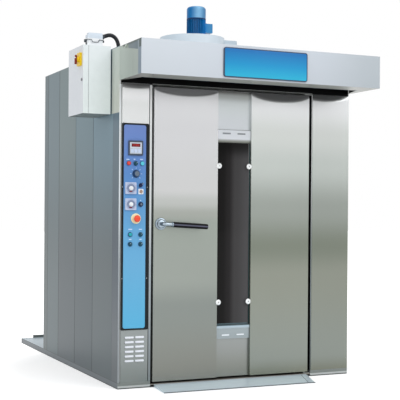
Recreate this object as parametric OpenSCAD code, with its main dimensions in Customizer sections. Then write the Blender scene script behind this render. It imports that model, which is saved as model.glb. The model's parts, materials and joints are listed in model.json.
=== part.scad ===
// Rotating rack oven: insulated cabinet, hinged door, extraction hood, control column and roof drive.
// The frame's origin is the rack's turning axis at floor level. X runs right along the front,
// Y runs to the rear and Z up. The modules draw from the cabinet's front left corner.

/* [Cabinet] */
// Width of the cabinet across the front
body_w = 1700; // [1690:1:1720]
// Depth of the cabinet from the front plane to the rear skin
body_d = 1720; // [1715:1:1760]
// Height of the side walls above the floor
wall_top = 2172; // [2168:1:2180]
// Height of the base rails
base_h = 40; // [36:1:40]
// Length of the base including the platform behind the cabinet
base_len = 2400; // [2300:10:2500]
// Width of the base rails
rail_w = 60; // [50:1:60]
// Thickness of the base's bottom sheet
base_sheet = 4; // [3:0.5:5]
// Height of the upturned flange on the platform's rear edge
flange_h = 22; // [15:1:30]
// Distance of that flange's ends from the sides
flange_x = 100; // [90:1:110]
// Thickness of the outer skins
skin = 2; // [1.5:0.1:2.5]
// Depth of the folded edges of the wall panels
panel_fold = 27; // [24:1:27]
// Gap between neighbouring wall panels
panel_gap = 3; // [2:0.5:4]

/* [Rack drive] */
// Turning axis of the rack, measured from the left side
axis_x = 809; // [808:1:811]
// Turning axis of the rack, measured from the front plane
axis_y = 635; // [633:1:637]
// Radius of the vertical drive shaft
shaft_r = 20; // [18:0.5:20]
// Radial clearance of shafts, pins and spindles in their bores
running_gap = 0.05; // [0.02:0.01:0.08]
// Height of the hook bar that carries the trolley
hook_z = 1850; // [1840:1:1860]
// Length of the hook bar
hook_len = 520; // [480:10:560]
// Radius of the round reduction housing on the roof
drum_r = 233; // [228:1:235]
// Height of the top of the reduction housing
drum_top = 2367; // [2360:1:2370]
// Distance of the reduction housing's centre to the left of the shaft
drum_shift = 32; // [28:1:36]
// Radius of the drive motor over its fins
motor_r = 69; // [66:1:72]
// Number of cooling fins on the drive motor
motor_fins = 28; // [20:1:32]
// Height of the top of the finned motor body
motor_top = 2508; // [2500:1:2512]
// Height of the top of the motor's cowl
cowl_top = 2597; // [2590:1:2605]
// Reach of the motor's terminal box from the axis
terminal_reach = 113; // [108:1:118]

/* [Door] */
// Left edge of the door leaf
door_x0 = 237; // [236:1:239]
// Right edge of the door leaf
door_x1 = 1381; // [1379:1:1382]
// Bottom edge of the door leaf
door_z0 = 34; // [33:1:36]
// Top edge of the door leaf
door_z1 = 1926; // [1924:1:1928]
// Thickness of the leaf without its gasket
door_t = 76; // [75:0.5:77]
// Depth of the raised front skins
door_skin_d = 24; // [22:0.5:25]
// Left edge of the recessed middle strip
strip_x0 = 690; // [688:1:692]
// Right edge of the recessed middle strip
strip_x1 = 937; // [935:1:939]
// Bottom edge of the window glass
glass_z0 = 376; // [374:1:378]
// Top edge of the window glass
glass_z1 = 1585; // [1583:1:1587]
// Height of the upper window bracket above the glass
upper_bracket_h = 84; // [82:1:86]
// Height of the lower window bracket below the glass
lower_bracket_h = 91; // [89:1:93]
// Radius of the round glass buttons
button_r = 18; // [16:0.5:19]
// Distance of the hinge axis from the door's right edge
hinge_inset = 17; // [16:1:20]
// Depth of the hinge axis behind the front plane
hinge_y = 22; // [20:1:24]
// Radius of the hinge pins
hinge_pin_r = 8; // [7:0.5:8]

/* [Handle] */
// Handle spindle, measured from the cabinet's left side
handle_x = 286; // [284:1:290]
// Handle spindle above the floor
handle_z = 1047; // [1040:1:1055]
// Radius of the round boss
boss_r = 39; // [36:1:40]
// Radius of the grip
grip_r = 17.5; // [16:0.5:19]
// Start of the grip from the spindle
grip_start = 61; // [58:1:66]
// End of the grip from the spindle
grip_end = 306; // [296:1:312]
// Distance of the grip's axis in front of the door
grip_out = 60; // [55:1:66]
// Droop of the grip below the level
grip_tilt = 3.4; // [0:0.1:5]

/* [Doorway] */
// Left side of the doorway
jamb_x0 = 221; // [219:1:222]
// Right side of the doorway
jamb_x1 = 1403; // [1402:1:1405]
// Height of the doorway's soffit
soffit_z = 1936; // [1935:1:1938]
// Depth of the seal's seat behind the front plane
seat_y = 84; // [84:0.5:85]
// Length of the entry ramp
ramp_len = 245; // [230:1:260]
// Height of the ramp's rear edge
ramp_h = 17; // [15:1:18]

/* [Chamber] */
// Half width of the baking chamber
chamber_half = 552; // [550:1:554]
// Depth of the chamber's rear wall behind the front plane
chamber_rear = 1180; // [1175:1:1185]
// Height of the chamber's floor
floor_z = 20; // [18:1:20]
// Height of the chamber's ceiling
ceiling_z = 1960; // [1955:1:1965]
// Width of the upright air slots in the left chamber wall
air_slot_w = 12; // [8:1:16]
// Number of air slot columns
air_slot_columns = 5; // [3:1:6]

/* [Hood] */
// Depth of the hood in front of the cabinet
hood_d = 378; // [370:1:385]
// Height of the hood's lower edge
hood_z = 1955; // [1953:1:1957]
// Height of the hood's top
hood_top = 2168; // [2164:1:2170]
// Depth of the box along the hood's front
hood_box_d = 178; // [170:1:185]
// Width of the tapered flanges under the hood's cheeks where they meet the box
hood_flange = 72; // [60:1:76]
// Left edge of the sign plate
sign_x0 = 545; // [540:1:550]
// Right edge of the sign plate
sign_x1 = 1139; // [1134:1:1144]
// Lower edge of the sign plate
sign_z0 = 1965; // [1962:1:1968]
// Upper edge of the sign plate
sign_z1 = 2150; // [2147:1:2153]

/* [Control column] */
// Left edge of the column's front cover
cover_x0 = 19; // [18:1:21]
// Right edge of the column's front cover
cover_x1 = 202; // [201:1:203]
// Left edge of the control panel
panel_x0 = 25; // [24:1:27]
// Right edge of the control panel
panel_x1 = 201; // [200:1:202]
// Lower edge of the control panel
panel_z0 = 372; // [370:1:375]
// Upper edge of the control panel
panel_z1 = 1686; // [1683:1:1690]
// Thickness of the control panel
panel_t = 6; // [5:0.5:7]
// Centre of the upper row of push buttons, above the floor
row_z = 1431; // [1428:1:1434]
// Centre of the temperature controller, above the floor
controller_z = 1528; // [1525:1:1531]
// Centre of the steam knob, above the floor
knob_z = 1365; // [1362:1:1368]
// Centre of the upper timer, above the floor
timer_top_z = 1273; // [1271:1:1275]
// Centre of the lower timer, above the floor
timer_low_z = 1171; // [1169:1:1173]
// Centre of the emergency stop, above the floor
stop_z = 1080; // [1078:1:1083]
// Centre of the upper row of selectors, above the floor
selector_top_z = 979; // [977:1:982]
// Centre of the lower row of selectors, above the floor
selector_low_z = 918; // [915:1:920]
// Number of vent rows below the control panel
vent_rows = 6; // [4:1:6]
// Spacing of the vent rows
vent_pitch = 29.8; // [28:0.1:30]
// Centre of the top vent row, above the floor
vent_top_z = 323; // [321:1:325]

/* [Switch box] */
// Front edge of the switch box behind the front plane
box_y0 = 150; // [146:1:154]
// Rear edge of the switch box behind the front plane
box_y1 = 460; // [450:1:466]
// Lower edge of the switch box
box_z0 = 1750; // [1746:1:1754]
// Upper edge of the switch box
box_z1 = 2187; // [2183:1:2190]
// Depth of the switch box's shell
box_d = 148; // [144:1:152]
// Depth of the switch box's lid
lid_d = 36; // [32:1:38]
// Gap between the switch box and the wall
box_gap = 8; // [6:1:10]

/* [Hidden] */
$fn = 48;
hair = 0.3;                    // gap between pieces that lie side by side
over = 1;                      // how far a cut runs past the face that it opens
hinge_x = door_x1 - hinge_inset;
chamber_x0 = axis_x - chamber_half;
chamber_x1 = axis_x + chamber_half;
chamber_front = seat_y + 8;    // front edge of the chamber's sheets
wool_x = panel_fold + 32;      // inner face of the side wool
inner_rear = body_d - panel_fold;
roof_t = 2;
roof_z = wall_top - 4;         // top face of the roof sheet
duct_x = chamber_x0 - 4;       // face of the air duct's wall in the left duct
cover_top = soffit_z + 2;      // top of the front covers
panel_x = (panel_x0 + panel_x1) / 2;
row_left_x = 62;
row_mid_x = 109;
row_right_x = 153;
pair_left_x = 75;
pair_right_x = 145;
timer_x = 76;
timer_size = 75;
buzzer_z = timer_top_z - 21;
program_z = timer_top_z + 20;
stem_r = 8;                    // stem of a button or selector
bezel_r = 16;
bezel_bore = 13.6;
knob_stem_r = 4;
panel_front = -panel_t;        // face of the control panel
flue_x = 1150;                 // outlets on the roof
steam_x = 450;
outlet_y = 1390;
flue_r = 75;
steam_r = 60;
burner_x = 850;                // burner port in the rear wall
burner_z = 350;
burner_r = 60;
fan_x = 600;                   // air circulation fan behind the chamber
fan_z = 1740;
fan_r = 200;
fan_y = 1240;
fan_d = 110;
fan_shaft_r = 14;
fan_plate_y = 1390;
box_x1 = -box_gap;             // faces of the switch box beside the left wall
box_x0 = box_x1 - box_d;
lid_x0 = box_x0 - lid_d - 2;
lid_x1 = box_x0 - 2;
lid_pin_x = box_x0 - 20;       // hinge axis of the switch box's lid
lid_pin_y = box_y1 + 8;
lid_pin_r = 3;
isolator_y = 208;
isolator_z = 2098;
lock_y = 172;
lock_z = 1966;
plug_y = 300;                  // plug connector on top of the switch box
plug_x0 = -124;
plug_x1 = -20;
plug_split_z = box_z1 + 42;
plug_top_z = 2290;
conduit_r = 13.5;
conduit_sides = 12;
// Centre line of the conduit from the plug to the roof, seen from the front
conduit_route = [[-20, 2270], [2, 2276], [24, 2284], [46, 2285], [66, 2277], [82, 2261], [92, 2240],
    [98, 2215], [100, 2190], [100, 2168]];

// Moves pieces drawn from the front left corner into the part's frame
module from_corner() translate([-axis_x, -axis_y, 0]) children();

// Box between two opposite corners
module block(low, high) translate(low) cube(high - low);

// Rectangle with rounded corners about the origin, drawn flat
module rounded_rect(w, h, r) {
    square([w - 2 * r, h], center = true);
    square([w, h - 2 * r], center = true);
    for (sx = [-1, 1], sy = [-1, 1])
        translate([sx * (w / 2 - r), sy * (h / 2 - r)]) circle(r);
}

// Places a piece on the front: its Z axis points out of the oven, its Y axis up
module on_front(x, y, z) translate([x, y, z]) rotate([90, 0, 0]) children();

// Places a piece on the left side: its Z axis points left, its X axis to the front
module on_left(x, y, z) translate([x, y, z]) rotate([90, 0, -90]) children();

// Sheet cassette: a skin with folded edges, open on the side away from the skin
module cassette(low, high, open_low, open_high) difference() {
    block(low, high);
    block(open_low, open_high);
}

module base_frame() color("lightsteelblue") from_corner() difference() {
    union() {
        block([0, 0, 0], [body_w, base_len, base_h]);
        block([flange_x, base_len - skin, base_h], [body_w - flange_x, base_len, base_h + flange_h]);
    }
    // recess for the chamber floor, with the doorway cut through the front rail
    block([rail_w, chamber_front, base_sheet], [body_w - rail_w, chamber_rear, base_h + over]);
    block([jamb_x0, -over, base_sheet], [jamb_x1, chamber_front + over, base_h + over]);
    // space under the heat exchanger
    block([rail_w, chamber_rear + 40, base_sheet], [body_w - rail_w, inner_rear - 30, base_h + over]);
    // hollow under the rear platform, open below
    block([rail_w, body_d + 30, -over], [body_w - rail_w, base_len - rail_w, base_h - skin]);
    for (x = [rail_w / 2, body_w - rail_w / 2], y = [body_d + 60, base_len - 60])
        translate([x, y, -over]) cylinder(h = base_h + 2 * over, r = 7);
}

module chamber_floor() color("silver") from_corner() {
    plate_t = 6;
    block([rail_w + 2, chamber_front + 2, floor_z - plate_t],
        [body_w - rail_w - 2, chamber_rear - 2, floor_z]);
    block([jamb_x0 + 1, 1, floor_z - plate_t], [jamb_x1 - 1, chamber_front + 2, floor_z]);
}

module entry_ramp() color("lightsteelblue") from_corner() {
    rear_left = 247;
    rear_right = 1368;
    nose_left = 222;
    nose_right = 1298;
    nose_h = 2;
    intersection() {
        linear_extrude(ramp_h)
            polygon([[rear_left, -hair], [nose_left, 12 - ramp_len], [nose_right, -ramp_len],
                [rear_right, -hair]]);
        // slope, extruded along the front
        rotate([90, 0, 90]) linear_extrude(body_w)
            polygon([[-ramp_len - over, 0], [0, 0], [0, ramp_h], [-24, ramp_h], [-ramp_len - over, nose_h]]);
    }
}

module front_frame() color("darkseagreen") from_corner() {
    face_t = 4;
    side_d = 118;
    post_x = cover_x1 + 5;
    // left corner post
    block([0, 0, base_h], [8, face_t, wall_top]);
    block([0, face_t, base_h], [face_t, side_d, wall_top]);
    // left jamb and its narrow front face, with the strike slot
    difference() {
        union() {
            block([jamb_x0 - face_t, 0, base_h], [jamb_x0, seat_y, soffit_z]);
            block([post_x, 0, base_h], [jamb_x0 - face_t, face_t, soffit_z]);
        }
        block([jamb_x0 - face_t - over, 22, handle_z - 20], [jamb_x0 + over, 62, handle_z + 20]);
    }
    // right jamb
    block([jamb_x1, 3, base_h], [jamb_x1 + face_t, seat_y, soffit_z]);
    // soffit over the door
    block([post_x, 0, soffit_z], [jamb_x1 + face_t, seat_y, soffit_z + face_t]);
    // upper front plate behind the hood
    block([8, face_t, soffit_z + face_t], [body_w - panel_fold - 1, 2 * face_t, wall_top]);
    // seat of the door seal
    difference() {
        block([wool_x + 3, seat_y, base_h], [body_w - wool_x - 3, seat_y + 6, ceiling_z]);
        block([chamber_x0 + 2, seat_y - over, base_h - over],
            [chamber_x1 - 2, seat_y + 6 + over, ceiling_z - 60]);
    }
}

// Side wall of four cassettes and a rear corner strip, on the left of the cabinet
module side_wall(front_y) {
    seams = [front_y, 517, 910, 1321, 1620, body_d];
    for (i = [0:len(seams) - 2]) {
        y0 = seams[i] + panel_gap / 2;
        y1 = seams[i + 1] - panel_gap / 2;
        cassette([0, y0, base_h], [panel_fold, y1, wall_top],
            [skin, y0 + skin, base_h + skin], [panel_fold + over, y1 - skin, wall_top - skin]);
    }
}

module left_wall_panels() color("slategray") from_corner() side_wall(118);

module right_wall_panels() color("slategray") from_corner()
    translate([body_w, 0, 0]) mirror([1, 0, 0]) side_wall(4);

module rear_wall() color("gainsboro") from_corner() difference() {
    flange_t = 12;
    flange_r = 110;
    union() {
        cassette([panel_fold + 1, inner_rear, base_h], [body_w - panel_fold - 1, body_d, roof_z - roof_t],
            [panel_fold + 1 + skin, inner_rear - over, base_h + skin],
            [body_w - panel_fold - 1 - skin, body_d - skin, roof_z - roof_t - skin]);
        // flange of the burner port
        on_front(burner_x, body_d, burner_z) cylinder(h = flange_t, r = flange_r);
    }
    on_front(burner_x, body_d + over, burner_z) cylinder(h = flange_t + 2 * over, r = burner_r);
    for (a = [45:90:315]) on_front(burner_x, body_d + over, burner_z)
        rotate(a) translate([90, 0, 0]) cylinder(h = flange_t + 2 * over, r = 5);
}

module roof_panel() color("gainsboro") from_corner() {
    stub_h = 130;
    stub_t = 2;
    difference() {
        block([panel_fold + 1, 9, roof_z - roof_t], [body_w - panel_fold - 1, body_d, roof_z]);
        translate([axis_x, axis_y, roof_z - 2 * roof_t]) cylinder(h = 10, r = 34);
        translate([flue_x, outlet_y, roof_z - 2 * roof_t]) cylinder(h = 10, r = flue_r - stub_t);
        translate([steam_x, outlet_y, roof_z - 2 * roof_t]) cylinder(h = 10, r = steam_r - stub_t);
        translate([100, plug_y, roof_z - 2 * roof_t]) cylinder(h = 10, r = conduit_r - 3);
    }
    for (p = [[flue_x, flue_r], [steam_x, steam_r]]) translate([p[0], outlet_y, roof_z]) difference() {
        cylinder(h = stub_h, r = p[1]);
        translate([0, 0, -over]) cylinder(h = stub_h + 2 * over, r = p[1] - stub_t);
    }
}

module column_cover() color("silver") from_corner() {
    fold_d = 20;
    vent_w = 58;
    vent_h = 12;
    window_gap = 12;
    vent_columns = [47, 117];
    difference() {
        cassette([cover_x0, 0, base_h], [cover_x1, fold_d, cover_top],
            [cover_x0 + skin, skin, base_h + skin], [cover_x1 - skin, fold_d + over, cover_top - skin]);
        // opening behind the control panel
        block([panel_x0 + window_gap, -over, panel_z0 + window_gap],
            [panel_x1 - window_gap, skin + over, panel_z1 - window_gap]);
        for (x = vent_columns, i = [0:vent_rows - 1])
            block([x, -over, vent_top_z - i * vent_pitch - vent_h / 2],
                [x + vent_w, skin + over, vent_top_z - i * vent_pitch + vent_h / 2]);
    }
    // pressed lips over the vents
    for (x = vent_columns, i = [0:vent_rows - 1])
        translate([x, 0, vent_top_z - i * vent_pitch + vent_h / 2]) rotate([90, 0, 90])
            linear_extrude(vent_w) polygon([[0, 0], [0, 3], [-6, -9], [-6, -11]]);
}

module right_column_cover() color("silver") from_corner()
    cassette([jamb_x1 + 5, 0, base_h], [body_w, 3.5, cover_top],
        [jamb_x1 + 5 + skin, skin, base_h + skin], [body_w - skin, 3.5 + over, cover_top - skin]);

module chamber_liner() color("lightgray") from_corner() {
    sheet = 2.5;
    window_w = 80;
    window_h = 420;
    // rear wall
    block([chamber_x0 - 3, chamber_rear, base_h], [chamber_x1 + sheet, chamber_rear + sheet, ceiling_z]);
    // right wall with return air windows
    difference() {
        block([chamber_x1, chamber_front, floor_z], [chamber_x1 + sheet, chamber_rear, ceiling_z]);
        for (y = [400, 760], z = [200, 760, 1320])
            block([chamber_x1 - over, y, z], [chamber_x1 + sheet + over, y + window_w, z + window_h]);
    }
    // ceiling with the shaft hole
    difference() {
        block([chamber_x0 - 3, chamber_front, ceiling_z],
            [chamber_x1 + sheet, chamber_rear + sheet, ceiling_z + sheet]);
        translate([axis_x, axis_y, ceiling_z - over]) cylinder(h = sheet + 2 * over, r = shaft_r + 6);
    }
}

module air_duct_wall() color("darkgray") from_corner() {
    margin = 110;
    usable = chamber_rear - chamber_front - 2 * margin;
    step = usable / (air_slot_columns - 1);
    slot_z = [150, 740, 1330];
    slot_h = 500;
    difference() {
        block([duct_x, chamber_front, floor_z], [chamber_x0 - 1, chamber_rear - hair, ceiling_z - hair]);
        for (i = [0:air_slot_columns - 1], z = slot_z)
            block([duct_x - over, chamber_front + margin + i * step - air_slot_w / 2, z],
                [chamber_x0 + over, chamber_front + margin + i * step + air_slot_w / 2, z + slot_h]);
    }
}

module insulation() color("khaki") from_corner() {
    wool_top = 2060;
    low_z = base_h + 2;
    rear_y0 = inner_rear - 41;
    // side slabs
    block([panel_fold + 1, 124, low_z], [wool_x, inner_rear - 1, roof_z - 10]);
    block([body_w - wool_x, 124, low_z], [body_w - panel_fold - 1, inner_rear - 1, roof_z - 10]);
    // slabs behind the front columns
    block([wool_x + 3, 58, low_z], [jamb_x0 - 5, seat_y - 1, soffit_z - 2]);
    block([jamb_x1 + 5, 58, low_z], [body_w - wool_x - 3, seat_y - 1, soffit_z - 2]);
    // rear slab, cut out for the burner and the fan motor
    difference() {
        block([wool_x + 2, rear_y0, low_z], [body_w - wool_x - 2, inner_rear - 1, roof_z - 10]);
        on_front(burner_x, inner_rear + over, burner_z) cylinder(h = 60, r = burner_r + 12);
        block([fan_x - 170, rear_y0 - over, fan_z - 170], [fan_x + 170, inner_rear + over, fan_z + 170]);
    }
    // ceiling slab round the shaft and the two outlets
    difference() {
        block([wool_x + 2, chamber_front, ceiling_z + 4], [body_w - wool_x - 2, rear_y0 - 2, wool_top]);
        translate([axis_x, axis_y, ceiling_z]) cylinder(h = 140, r = shaft_r + 12);
        translate([flue_x, outlet_y, ceiling_z]) cylinder(h = 140, r = flue_r + 8);
        translate([steam_x, outlet_y, ceiling_z]) cylinder(h = 140, r = steam_r + 8);
    }
    // board under the chamber floor
    block([rail_w + 2, chamber_front + 2, base_sheet], [body_w - rail_w - 2, chamber_rear - 2, floor_z - 6]);
}

header_x = [400, 1300];        // header boxes of the heat exchanger
header_y = [1290, 1490];
header_low = 560;
header_high = 1320;
header_h = 90;

// Solid shape of the heat exchanger, drawn in by the wall's thickness for its inside
module exchanger_shape(wall) {
    tube_r = 36;
    tube_pitch = 150;
    drum_y1 = 1600;
    drum_len = 370;
    port_y = body_d - 13;
    // burner drum, burner port and the neck under the lower header
    on_front(burner_x, drum_y1 - wall, burner_z) cylinder(h = drum_len - 2 * wall, r = 150 - wall);
    on_front(burner_x, port_y + wall, burner_z)
        cylinder(h = port_y - drum_y1 + 3 * wall, r = burner_r + 4 - wall);
    block([burner_x - 80 + wall, header_y[0] + 20 + wall, burner_z],
        [burner_x + 80 - wall, header_y[1] - 20 - wall, header_low + 2 * wall]);
    for (z = [header_low, header_high])
        block([header_x[0] + wall, header_y[0] + wall, z + wall],
            [header_x[1] - wall, header_y[1] - wall, z + header_h - wall]);
    // tubes between the headers, and the flue
    for (i = [0:5], y = [header_y[0] + 50, header_y[1] - 50])
        translate([header_x[0] + 75 + i * tube_pitch, y, header_low + header_h / 2])
            cylinder(h = header_high - header_low, r = tube_r - wall);
    translate([flue_x, outlet_y, header_high + header_h / 2])
        cylinder(h = roof_z - 6 - header_high - header_h / 2 + wall, r = flue_r - 3 - wall);
}

module heat_exchanger() color("dimgray") from_corner() {
    difference() {
        exchanger_shape(0);
        exchanger_shape(4);
    }
    for (x = [header_x[0] + 10, header_x[1] - 50], y = [header_y[0] + 10, header_y[1] - 50])
        block([x, y, base_sheet], [x + 40, y + 40, header_low]);
}

module fan_motor() color("steelblue") from_corner() {
    body_r = 85;
    plate = 300;
    shaft_hole_r = fan_shaft_r + running_gap;
    difference() {
        union() {
            on_front(fan_x, fan_plate_y + 220, fan_z) cylinder(h = 208, r = body_r);
            on_front(fan_x, fan_plate_y + 12, fan_z)
                linear_extrude(12) square([plate, plate], center = true);
        }
        on_front(fan_x, fan_plate_y + 150, fan_z) cylinder(h = 160, r = shaft_hole_r);
    }
    // stays to the rear wall
    for (sx = [-1, 1], sz = [-1, 1])
        on_front(fan_x + sx * (plate / 2 - 20), body_d - skin, fan_z + sz * (plate / 2 - 20))
            cylinder(h = body_d - skin - fan_plate_y - 12, r = 8);
}

module circulation_fan() color("silver") from_corner() {
    blades = 10;
    hub_r = 40;
    on_front(fan_x, fan_y + fan_d, fan_z) {
        cylinder(h = 3, r = fan_r);
        cylinder(h = fan_d, r = hub_r);
        for (i = [0:blades - 1]) rotate(i * 360 / blades) translate([95, -2, 0]) cube([fan_r - 98, 4, fan_d]);
        translate([0, 0, fan_d - 3]) difference() {
            cylinder(h = 3, r = fan_r);
            translate([0, 0, -over]) cylinder(h = 3 + 2 * over, r = fan_r - 50);
        }
        translate([0, 0, -180]) cylinder(h = 180, r = fan_shaft_r);
    }
}

module hood_shell() color("whitesmoke") from_corner() {
    cut_y = 58 - hood_d;              // front end of the cheeks' cut-outs
    cut_low = 2107;                   // height of their lower edge, front and rear
    cut_high = 2150;
    rim = 8;
    box_y = hood_box_d - hood_d;      // rear face of the front box
    inner_x = 70;
    difference() {
        union() {
            // hollow box along the front, open into the hood behind it
            difference() {
                block([0, -hood_d, hood_z], [body_w, box_y, hood_top]);
                block([skin, skin - hood_d, hood_z + skin], [body_w - skin, box_y - skin, hood_top - skin]);
                block([300, box_y - skin - over, hood_z + 60], [body_w - 300, box_y + over, hood_top - 60]);
            }
            // cheeks and top sheet
            for (x = [0, body_w - skin]) block([x, box_y, hood_z], [x + skin, -hair, hood_top]);
            block([0, box_y, hood_top - skin], [body_w, -hair, hood_top]);
        }
        for (x = [-over, body_w - skin - over])
            translate([x, 0, 0]) rotate([90, 0, 90]) linear_extrude(skin + 2 * over)
                polygon([[cut_y, cut_low], [-74, cut_high], [-60, hood_top - rim], [cut_y, hood_top - rim]]);
    }
    // baffles behind the cut-outs
    for (x = [inner_x, body_w - inner_x - skin])
        block([x, skin - hood_d, cut_low - 60], [x + skin, -hair, hood_top - skin]);
    // tapered flanges turned in under the cheeks
    for (side = [0, 1]) translate([side * body_w, 0, hood_z]) mirror([side, 0, 0]) linear_extrude(skin)
        polygon([[skin, -hair], [skin + 12, -hair], [hood_flange, box_y], [skin, box_y]]);
}

module sign_plate() color("dodgerblue") from_corner() {
    plate_t = 10;
    on_front((sign_x0 + sign_x1) / 2, -hood_d, (sign_z0 + sign_z1) / 2)
        linear_extrude(plate_t) rounded_rect(sign_x1 - sign_x0, sign_z1 - sign_z0, 14);
}

// Through-hole in the control panel
module panel_hole(x, z, r) on_front(x, over, z) cylinder(h = panel_t + 2 * over, r = r);

module control_panel() color("cornflowerblue") from_corner() difference() {
    on_front(panel_x, 0, (panel_z0 + panel_z1) / 2)
        linear_extrude(panel_t) rounded_rect(panel_x1 - panel_x0, panel_z1 - panel_z0, 10);
    for (x = [row_left_x, row_mid_x, row_right_x]) panel_hole(x, row_z, stem_r + 0.5);
    for (x = [pair_left_x, pair_right_x]) panel_hole(x, selector_low_z, stem_r + 0.5);
    panel_hole(pair_right_x, selector_top_z, stem_r + 0.5);
    panel_hole(panel_x, stop_z, stem_r + 0.5);
    panel_hole(panel_x, knob_z, knob_stem_r + 0.5);
    panel_hole(pair_right_x, program_z, knob_stem_r + 0.5);
    panel_hole(pair_right_x, timer_low_z, knob_stem_r + 0.5);
}

// Square timer or signal housing with a bore for its dial
module housing(x, z, size, depth, bore) difference() {
    on_front(x, panel_front, z) linear_extrude(depth) rounded_rect(size, size, 4);
    if (bore > 0) on_front(x, panel_front - depth + 6, z) cylinder(h = 8, r = bore);
}

module panel_housings() color("lightgray") from_corner() {
    housing(timer_x, timer_top_z, timer_size, 10, knob_stem_r + running_gap);
    housing(timer_x, timer_low_z, timer_size, 10, knob_stem_r + running_gap);
    housing(pair_right_x, buzzer_z, 34, 6, 0);
    on_front(pair_right_x, panel_front - 6, buzzer_z) cylinder(h = 3, r = 11);
    // bezels of the buttons and selectors
    for (p = [[row_left_x, row_z], [row_mid_x, row_z], [row_right_x, row_z],
        [pair_right_x, selector_top_z], [pair_left_x, selector_low_z], [pair_right_x, selector_low_z]])
        on_front(p[0], panel_front, p[1]) difference() {
            cylinder(h = 4, r = bezel_r);
            translate([0, 0, -over]) cylinder(h = 6, r = bezel_bore);
        }
    // signal lamp
    on_front(pair_left_x, panel_front, selector_top_z) {
        cylinder(h = 4, r = bezel_r);
        translate([0, 0, 4]) cylinder(h = 8, r = 12);
    }
    // collar of the emergency stop
    on_front(panel_x, panel_front, stop_z) difference() {
        cylinder(h = 6, r = 33);
        translate([0, 0, -over]) cylinder(h = 8, r = stem_r + 0.5);
    }
}

controller_w = 98;
key_z = controller_z - 18;
key_pitch = 24;

module controller() color("gray") from_corner() difference() {
    on_front(panel_x - 6, panel_front, controller_z) linear_extrude(10) rounded_rect(controller_w, 94, 5);
    for (i = [-1:1]) on_front(panel_x - 6 + i * key_pitch, panel_front - 5, key_z)
        linear_extrude(8) square([20.6, 24.6], center = true);
}

// One key of the controller
module key(i) color("lightsteelblue") from_corner()
    on_front(panel_x - 6 + i * key_pitch, panel_front - 7.5, key_z)
        linear_extrude(4) square([20, 24], center = true);

module key_left() key(-1);

module key_middle() key(0);

module key_right() key(1);

// Round push button with its stem
module push_button(x, z) from_corner() on_front(x, panel_front, z) {
    translate([0, 0, 4]) cylinder(h = 9, r = bezel_bore - 0.6);
    translate([0, 0, -14]) cylinder(h = 18, r = stem_r);
}

module red_button() color("firebrick") push_button(row_left_x, row_z);

module light_button() color("turquoise") push_button(row_right_x, row_z);

// Selector with a lever across its face
module selector(x, z, turn) from_corner() on_front(x, panel_front, z) rotate(turn) {
    translate([0, 0, 1]) cylinder(h = 9, r = bezel_bore - 0.6);
    translate([-4, -12, 10]) cube([8, 24, 9]);
    translate([0, 0, -14]) cylinder(h = 15, r = stem_r);
}

module selector_heat() color("teal") selector(row_mid_x, row_z, -40);

module selector_steam() color("teal") selector(pair_right_x, selector_top_z, -45);

module selector_fan() color("teal") selector(pair_left_x, selector_low_z, 35);

module selector_light() color("teal") selector(pair_right_x, selector_low_z, -45);

module steam_knob() color("slategray") from_corner() on_front(panel_x, panel_front - 1, knob_z) {
    cylinder(h = 5, r = 24);
    translate([0, 0, 5]) cylinder(h = 13, r = 19);
    translate([-3, 0, 18]) cube([6, 19, 3]);
    translate([0, 0, -14]) cylinder(h = 14, r = knob_stem_r);
}

module program_switch() color("midnightblue") from_corner()
    on_front(pair_right_x, panel_front - 1, program_z) {
        cylinder(h = 6, r = 12);
        rotate(-42) translate([-5, -19, 6]) cube([10, 38, 9]);
        translate([0, 0, -14]) cylinder(h = 14, r = knob_stem_r);
    }

module small_knob() color("darkslategray") from_corner()
    on_front(pair_right_x, panel_front - 1, timer_low_z) {
        cylinder(h = 12, r = 15);
        translate([0, 0, 12]) cylinder(h = 4, r = 7);
        translate([0, 0, -14]) cylinder(h = 14, r = knob_stem_r);
    }

// Timer dial with a small knob at its centre
module timer_dial(z) color("white") from_corner() on_front(timer_x, panel_front - 10.5, z) {
    cylinder(h = 4, r = 27);
    translate([0, 0, 4]) cylinder(h = 8, r = 9);
    translate([0, 0, -5]) cylinder(h = 5, r = knob_stem_r);
}

module timer_dial_upper() timer_dial(timer_top_z);

module timer_dial_lower() timer_dial(timer_low_z);

module emergency_stop() color("red") from_corner() on_front(panel_x, panel_front - 16, stop_z) {
    cylinder(h = 9, r = 18);
    translate([0, 0, 9]) rotate_extrude() intersection() {
        translate([0, -16]) circle(r = 27, $fn = 64);
        square([22, 12]);
    }
    translate([0, 0, -26]) cylinder(h = 26, r = stem_r);
}

module switch_box() color("gainsboro") from_corner() {
    wall = 2;
    cassette([box_x0, box_y0, box_z0], [box_x1, box_y1, box_z1],
        [box_x0 - over, box_y0 + wall, box_z0 + wall], [box_x1 - wall, box_y1 - wall, box_z1 - wall]);
    // spacers to the wall
    for (y = [box_y0 + 40, box_y1 - 40], z = [box_z0 + 40, wall_top - 40])
        translate([box_x1, y, z]) rotate([0, 90, 0]) cylinder(h = box_gap, r = 10);
    // hinge eyes of the lid
    for (z = [box_z0 + 60, box_z1 - 90]) difference() {
        union() {
            translate([lid_pin_x, lid_pin_y, z]) cylinder(h = 24, r = 6);
            block([lid_pin_x, box_y1 + 3, z], [box_x0 + 12, lid_pin_y + 6, z + 24]);
            block([box_x0 + 1, box_y1, z], [box_x0 + 12, box_y1 + 3, z + 24]);
        }
        translate([lid_pin_x, lid_pin_y, z - over]) cylinder(h = 26, r = lid_pin_r + running_gap);
    }
}

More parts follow.
